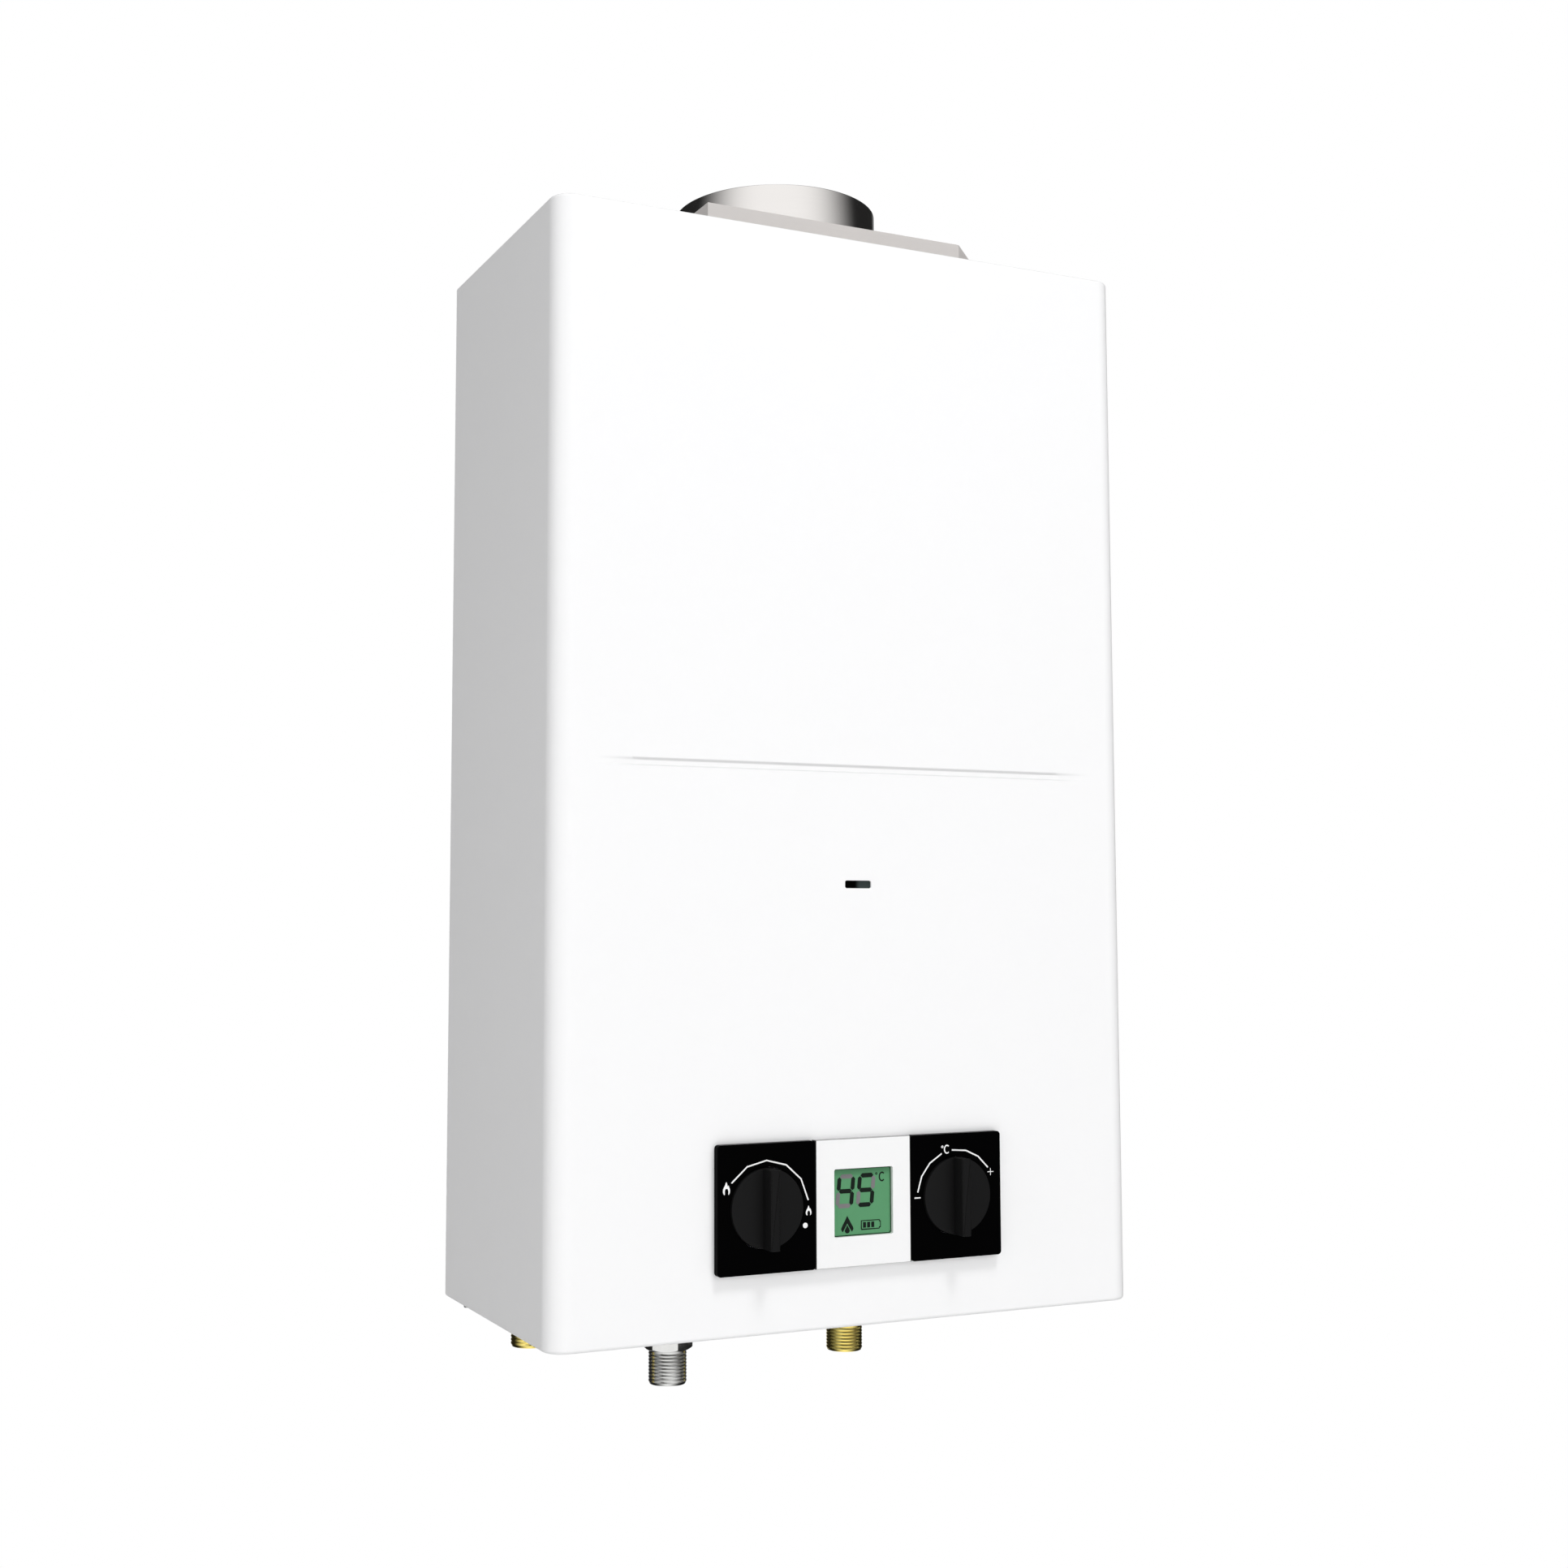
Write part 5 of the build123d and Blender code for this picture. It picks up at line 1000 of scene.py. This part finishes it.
# The temperature dial's C and ring: place, half width and half height, angles, share of the line's width
DEGREE_MARKS = (
    ("scale_letter", (-0.0058, 0.0249), (0.0016, 0.0021), range(48, 313, 24), 0.9),
    ("scale_ring", (-0.0087, 0.0263), (0.00052, 0.00052), range(0, 361, 30), 0.5),
)


def shifted(points, centre, width=1.0, height=1.0):
    """Points scaled and moved to a centre, as (x, z)."""
    return [(centre[0] + x * width, centre[1] + z * height) for x, z in points]


def oval(angles):
    """Points on a circle of radius one."""
    return [polar((0, 0), 1, angle) for angle in angles]


class HEATER_OT_marks(bpy.types.Operator):
    """Prints the white dial marks on the panel's dark ends"""

    bl_idname = "heater.marks"
    bl_label = "Dial marks"

    def execute(self, context):
        sizes = context.scene.heater_controls
        width, height = sizes.stroke, sizes.print_height
        gas, temperature = knob_middle("gas_knob"), knob_middle("temperature_knob")
        pieces = []
        for knob, name, radius, angles in ARCS:
            points = [polar(knob_middle(knob), radius, angle) for angle in angles]
            pieces.append(self.line(name, points, width, height))
        for name, place_at, wide, tall in FLAMES:
            outline = shifted(FLAME_OUTLINE, self.beside(gas, place_at), wide, tall)
            pieces.append(plate(name, outline, height, PANEL_FRONT - height / 2, 3))
        place_at, radius = OFF_DOT
        dot = shifted(oval(range(0, 360, 15)), self.beside(gas, place_at), radius, radius)
        pieces.append(plate("off_dot", dot, height, PANEL_FRONT - height / 2))
        for name, place_at, across, up, share in BARS:
            ends = shifted([(-across, -up), (across, up)], self.beside(temperature, place_at))
            pieces.append(self.line(name, ends, width * share, height))
        for name, place_at, (wide, tall), angles, share in DEGREE_MARKS:
            points = shifted(oval(angles), self.beside(temperature, place_at), wide, tall)
            pieces.append(self.line(name, points, width * share, height))
        marks = join("dial_marks", pieces)
        place(marks, "heater", finish("mark white"))
        return {"FINISHED"}

    def beside(self, centre, offset):
        """A place at an offset from a knob's middle."""
        return (centre[0] + offset[0], centre[1] + offset[1])

    def line(self, name, points, width, height):
        """A printed line on the panel."""
        return stroke(name, points, width, height, PANEL_FRONT)


SEGMENTS = {
    "top": ((0, 1), (1, 1)),
    "middle": ((0, 0.5), (1, 0.5)),
    "foot": ((0, 0), (1, 0)),
    "upper_left": ((0, 0.5), (0, 1)),
    "upper_right": ((1, 0.5), (1, 1)),
    "lower_left": ((0, 0), (0, 0.5)),
    "lower_right": ((1, 0), (1, 0.5)),
}
# The digits shown: left edge and lit segments
DIGITS = (
    (-0.01495, ("upper_left", "upper_right", "middle", "lower_right")),
    (-0.00265, ("top", "upper_left", "middle", "lower_right", "foot")),
)
# The digits' foot, from the display's middle, and shares of a segment's width
DIGIT_FOOT = -0.00185
SEGMENT_GAP, SEGMENT_POINT = 0.12, 0.42
# The right half of the burner symbol's two outlines; the left half mirrors it
BURNER_PLACE = (-0.0090, -0.0119)
ARCH = [(0.0, 0.0048), (0.0017, 0.0018), (0.0035, -0.0012), (0.0037, -0.0022), (0.0028, -0.0036),
        (0.0016, -0.0019), (0.0, 0.0009)]
DROP = [(0.0, 0.0001), (0.0010, -0.0018), (0.0016, -0.0029), (0.0010, -0.0040), (0.0, -0.0043)]
# The battery symbol: left, low, right and high, its nose and line, and its bars
BATTERY = (-0.0005, -0.0147, 0.0111, -0.0102)
BATTERY_NOSE, BATTERY_LINE = 0.0007, 0.00075
BAR_START, BAR_PITCH, BAR_WIDTH, BAR_INSET = 0.0010, 0.0025, 0.0018, 0.0008
# The unit's C and ring: place, half width and half height, angles, line width
UNIT_MARKS = (
    ("unit_letter", (0.0122, 0.0123), (0.0016, 0.0022), range(45, 316, 18), 0.00085),
    ("unit_ring", (0.0088, 0.0140), (0.0005, 0.0005), range(0, 361, 30), 0.00045),
)


class HEATER_OT_display(bpy.types.Operator):
    """Lays out the display's digits, degree sign, flame and battery"""

    bl_idname = "heater.display"
    bl_label = "Display"

    def execute(self, context):
        sizes = context.scene.heater_controls
        self.height = sizes.print_height
        dark, pale = [], []
        for left, lit in DIGITS:
            for name, (first, last) in SEGMENTS.items():
                piece = self.segment(sizes, name, left, first, last)
                (dark if name in lit else pale).append(piece)
        for name, half in (("arch", ARCH), ("drop", DROP)):
            mirrored = [(-x, z) for x, z in reversed(half[1:-1])]
            dark.append(self.shape(name, shifted(half + mirrored, BURNER_PLACE)))
        dark += self.battery()
        place(join("display_symbols", dark), "heater", finish("segment on"))
        place(join("display_unlit", pale), "heater", finish("segment off"))
        place(join("display_unit", self.unit()), "heater", finish("segment on"))
        # The border is painted shade round the display
        place(self.liner(sizes), "heater", finish("liner dark"))
        return {"FINISHED"}

    def shape(self, name, points):
        """A filled outline, from the display's middle."""
        return plate(name, shifted(points, (0, PANEL_MIDDLE)), self.height, GLASS_FRONT - self.height / 2)

    def line(self, name, points, width):
        """A line, from the display's middle."""
        return stroke(name, shifted(points, (0, PANEL_MIDDLE)), width, self.height, GLASS_FRONT)

    def segment(self, sizes, name, left, first, last):
        """One bar of a digit, with pointed ends, leaning with the digit."""
        lean = math.tan(sizes.digit_slant)

        def corner(across, up):
            height = up * sizes.digit_height
            return Vector((left + across * sizes.digit_width + height * lean, DIGIT_FOOT + height))

        start_point, end_point = corner(*first), corner(*last)
        along = (end_point - start_point).normalized()
        side = Vector((-along.y, along.x)) * sizes.segment_width / 2
        gap = along * sizes.segment_width * SEGMENT_GAP
        point = along * sizes.segment_width * SEGMENT_POINT
        a, b = start_point + gap, end_point - gap
        outline = [a, a + point + side, b - point + side, b, b - point - side, a + point - side]
        return self.shape("segment_" + name, [(p.x, p.y) for p in outline])

    def battery(self):
        """The battery symbol with three bars."""
        left, low, right, high = BATTERY
        nose = BATTERY_NOSE
        outline = [
            (left, low), (right - nose, low), (right - nose, low + nose), (right, low + nose),
            (right, high - nose), (right - nose, high - nose), (right - nose, high), (left, high),
            (left, low),
        ]
        pieces = [self.line("cell_outline", outline, BATTERY_LINE)]
        foot, head = low + BAR_INSET, high - BAR_INSET
        for i in range(3):
            first = left + BAR_START + i * BAR_PITCH
            last = first + BAR_WIDTH
            pieces.append(self.shape("cell_bar", [(first, foot), (last, foot), (last, head), (first, head)]))
        return pieces

    def unit(self):
        """The thin degree sign and C at the upper right."""
        return [
            self.line(name, shifted(oval(angles), place_at, wide, tall), width)
            for name, place_at, (wide, tall), angles, width in UNIT_MARKS
        ]

    def liner(self, sizes):
        """Painted shade: a dark border round the display, with cut corners, for the shadow of its recess."""
        edge, inner = sizes.shade_border_half, sizes.shade_border_half - sizes.shade_border_corner
        border = [
            (0, -edge), (inner, -edge), (edge, -inner), (edge, inner), (inner, edge), (-inner, edge),
            (-edge, inner), (-edge, -inner), (-inner, -edge), (0, -edge),
        ]
        return self.line("display_liner", border, sizes.shade_border_width)


FLOOR_COLOUR, FLOOR_SIZE = (0.86, 0.86, 0.86, 1), 14
# The room as metal sees it, by how far a direction turns from the bright side: start, end, most
ROOM_BANDS = ((-0.30, 1.0, 1.08), (-0.90, -0.99, 0.5))
ROOM_DARK = 0.008
# The lamps: name, place and size; all aim at the heater's middle
LAMPS = (
    ("key", (0.5, -2.6, 0.15), 2.2),
    ("side", (-2.4, -0.6, 0.1), 1.6),
    ("top", (0.15, -1.4, 2.2), 0.6),
    ("low", (-0.2, -1.4, -1.1), 0.9),
)
LAMP_AIM = Vector((0, -0.09, -0.25))


class HEATER_OT_stage(bpy.types.Operator):
    """Sets up the floor, the lamps, the world and the camera"""

    bl_idname = "heater.stage"
    bl_label = "Stage"

    def execute(self, context):
        settings = context.scene.heater_stage
        self.floor(settings)
        self.world(settings)
        self.lamps(settings)
        self.camera(settings)
        context.scene.view_settings.view_transform = "Standard"
        return {"FINISHED"}

    def floor(self, settings):
        """A pale floor that the camera sees as white."""
        start()
        bpy.ops.mesh.primitive_plane_add(size=FLOOR_SIZE, location=(0, 0, -settings.floor_depth))
        floor = settle(named("floor"))
        material = bpy.data.materials.new("pale floor")
        material.use_nodes = True
        graph = Graph(material.node_tree)
        pale = graph.feed(graph.nodes["Principled BSDF"], {"Base Color": FLOOR_COLOUR, "Roughness": 0.8})
        path, white = graph.add("ShaderNodeLightPath"), graph.add("ShaderNodeEmission")
        values = {0: path.outputs["Is Camera Ray"], 1: pale.outputs[0], 2: white.outputs[0]}
        mix = graph.add("ShaderNodeMixShader", values)
        graph.feed(graph.nodes["Material Output"], {"Surface": mix.outputs[0]})
        floor.data.materials.append(material)
        floor.visible_glossy = False

    def world(self, settings):
        """White to the camera, to metal and to glass; softer as light."""
        world = bpy.data.worlds.new("studio")
        bpy.context.scene.world = world
        world.use_nodes = True
        graph = Graph(world.node_tree)
        path = graph.add("ShaderNodeLightPath").outputs
        white = graph.maths("MAXIMUM", path["Is Camera Ray"], path["Is Transmission Ray"])
        room = self.room(graph, settings)
        values = {"Factor": path["Is Glossy Ray"], "A": settings.world_strength, "B": room}
        light = graph.add("ShaderNodeMix", values).outputs["Result"]
        strength = graph.add("ShaderNodeMix", {"Factor": white, "A": light, "B": 1.0}).outputs["Result"]
        graph.feed(graph.nodes["Background"], {"Color": (1, 1, 1, 1), "Strength": strength})

    def room(self, graph, settings):
        """How bright metal sees each bearing: light in front, dark at the sides, a glow behind."""
        direction = graph.add("ShaderNodeTexCoord").outputs["Generated"]
        level = graph.vector("MULTIPLY", direction, (1, 1, 0))["Vector"]
        bearing = graph.vector("NORMALIZE", level)["Vector"]
        front = Vector(settings.room_front).normalized()
        facing = graph.vector("DOT_PRODUCT", bearing, front)["Value"]
        bands = [graph.ramp(facing, first, last, most, ROOM_DARK) for first, last, most in ROOM_BANDS]
        return graph.maths("ADD", *bands)

    def lamps(self, settings):
        """Large soft lamps: in front, at the left, above and low down."""
        for name, place_at, size in LAMPS:
            start()
            bpy.ops.object.light_add(type="AREA", location=place_at)
            lamp = bpy.context.object
            lamp.name = name + "_lamp"
            lamp.data.size = size
            lamp.data.energy = getattr(settings, name + "_power")
            lamp.rotation_euler = (LAMP_AIM - Vector(place_at)).to_track_quat("-Z", "Y").to_euler()
            lamp.visible_glossy = False

    def camera(self, settings):
        """The camera at the solved place, turn, tilt and lens."""
        start()
        turn = (math.radians(90) + settings.camera_tilt, 0, -settings.camera_turn)
        bpy.ops.object.camera_add(location=settings.camera_place, rotation=turn)
        camera = bpy.context.object
        camera.name = "studio_camera"
        camera.data.sensor_width = 36
        camera.data.lens = settings.camera_lens
        camera.data.shift_x = settings.shift_x
        camera.data.shift_y = settings.shift_y
        camera.data.clip_end = 50
        bpy.context.scene.camera = camera


OPERATORS = (
    HEATER_OT_finishes,
    HEATER_OT_casing,
    HEATER_OT_collar,
    HEATER_OT_knobs,
    HEATER_OT_fittings,
    HEATER_OT_marks,
    HEATER_OT_display,
    HEATER_OT_stage,
)


class HEATER_PT_panel(bpy.types.Panel):
    """Lists the heater's pieces in the sidebar"""

    bl_idname = "HEATER_PT_panel"
    bl_label = "Gas water heater"
    bl_space_type = "VIEW_3D"
    bl_region_type = "UI"
    bl_category = "Water heater"

    def draw(self, context):
        layout = self.layout
        for name in SETTINGS:
            box = layout.box()
            group = getattr(context.scene, name)
            for key in group.__annotations__:
                box.prop(group, key)
        for operator in OPERATORS:
            layout.operator(operator.bl_idname)


SETTINGS = {
    "heater_casing": CasingSettings,
    "heater_hood": HoodSettings,
    "heater_controls": ControlSettings,
    "heater_fittings": FittingSettings,
    "heater_colours": ColourSettings,
    "heater_stage": StageSettings,
}


def register():
    """Registers the settings, the operators and the panel."""
    for name, group in SETTINGS.items():
        bpy.utils.register_class(group)
        setattr(bpy.types.Scene, name, bpy.props.PointerProperty(type=group))
    for operator in OPERATORS:
        bpy.utils.register_class(operator)
    bpy.utils.register_class(HEATER_PT_panel)


def unregister():
    """Takes them away again."""
    bpy.utils.unregister_class(HEATER_PT_panel)
    for operator in reversed(OPERATORS):
        bpy.utils.unregister_class(operator)
    for name, group in SETTINGS.items():
        delattr(bpy.types.Scene, name)
        bpy.utils.unregister_class(group)


def main():
    """Builds everything in order."""
    register()
    bpy.ops.heater.finishes()
    bpy.ops.heater.casing()
    bpy.ops.heater.collar()
    bpy.ops.heater.knobs()
    bpy.ops.heater.fittings()
    bpy.ops.heater.marks()
    bpy.ops.heater.display()
    bpy.ops.heater.stage()


if __name__ == "__main__":
    main()
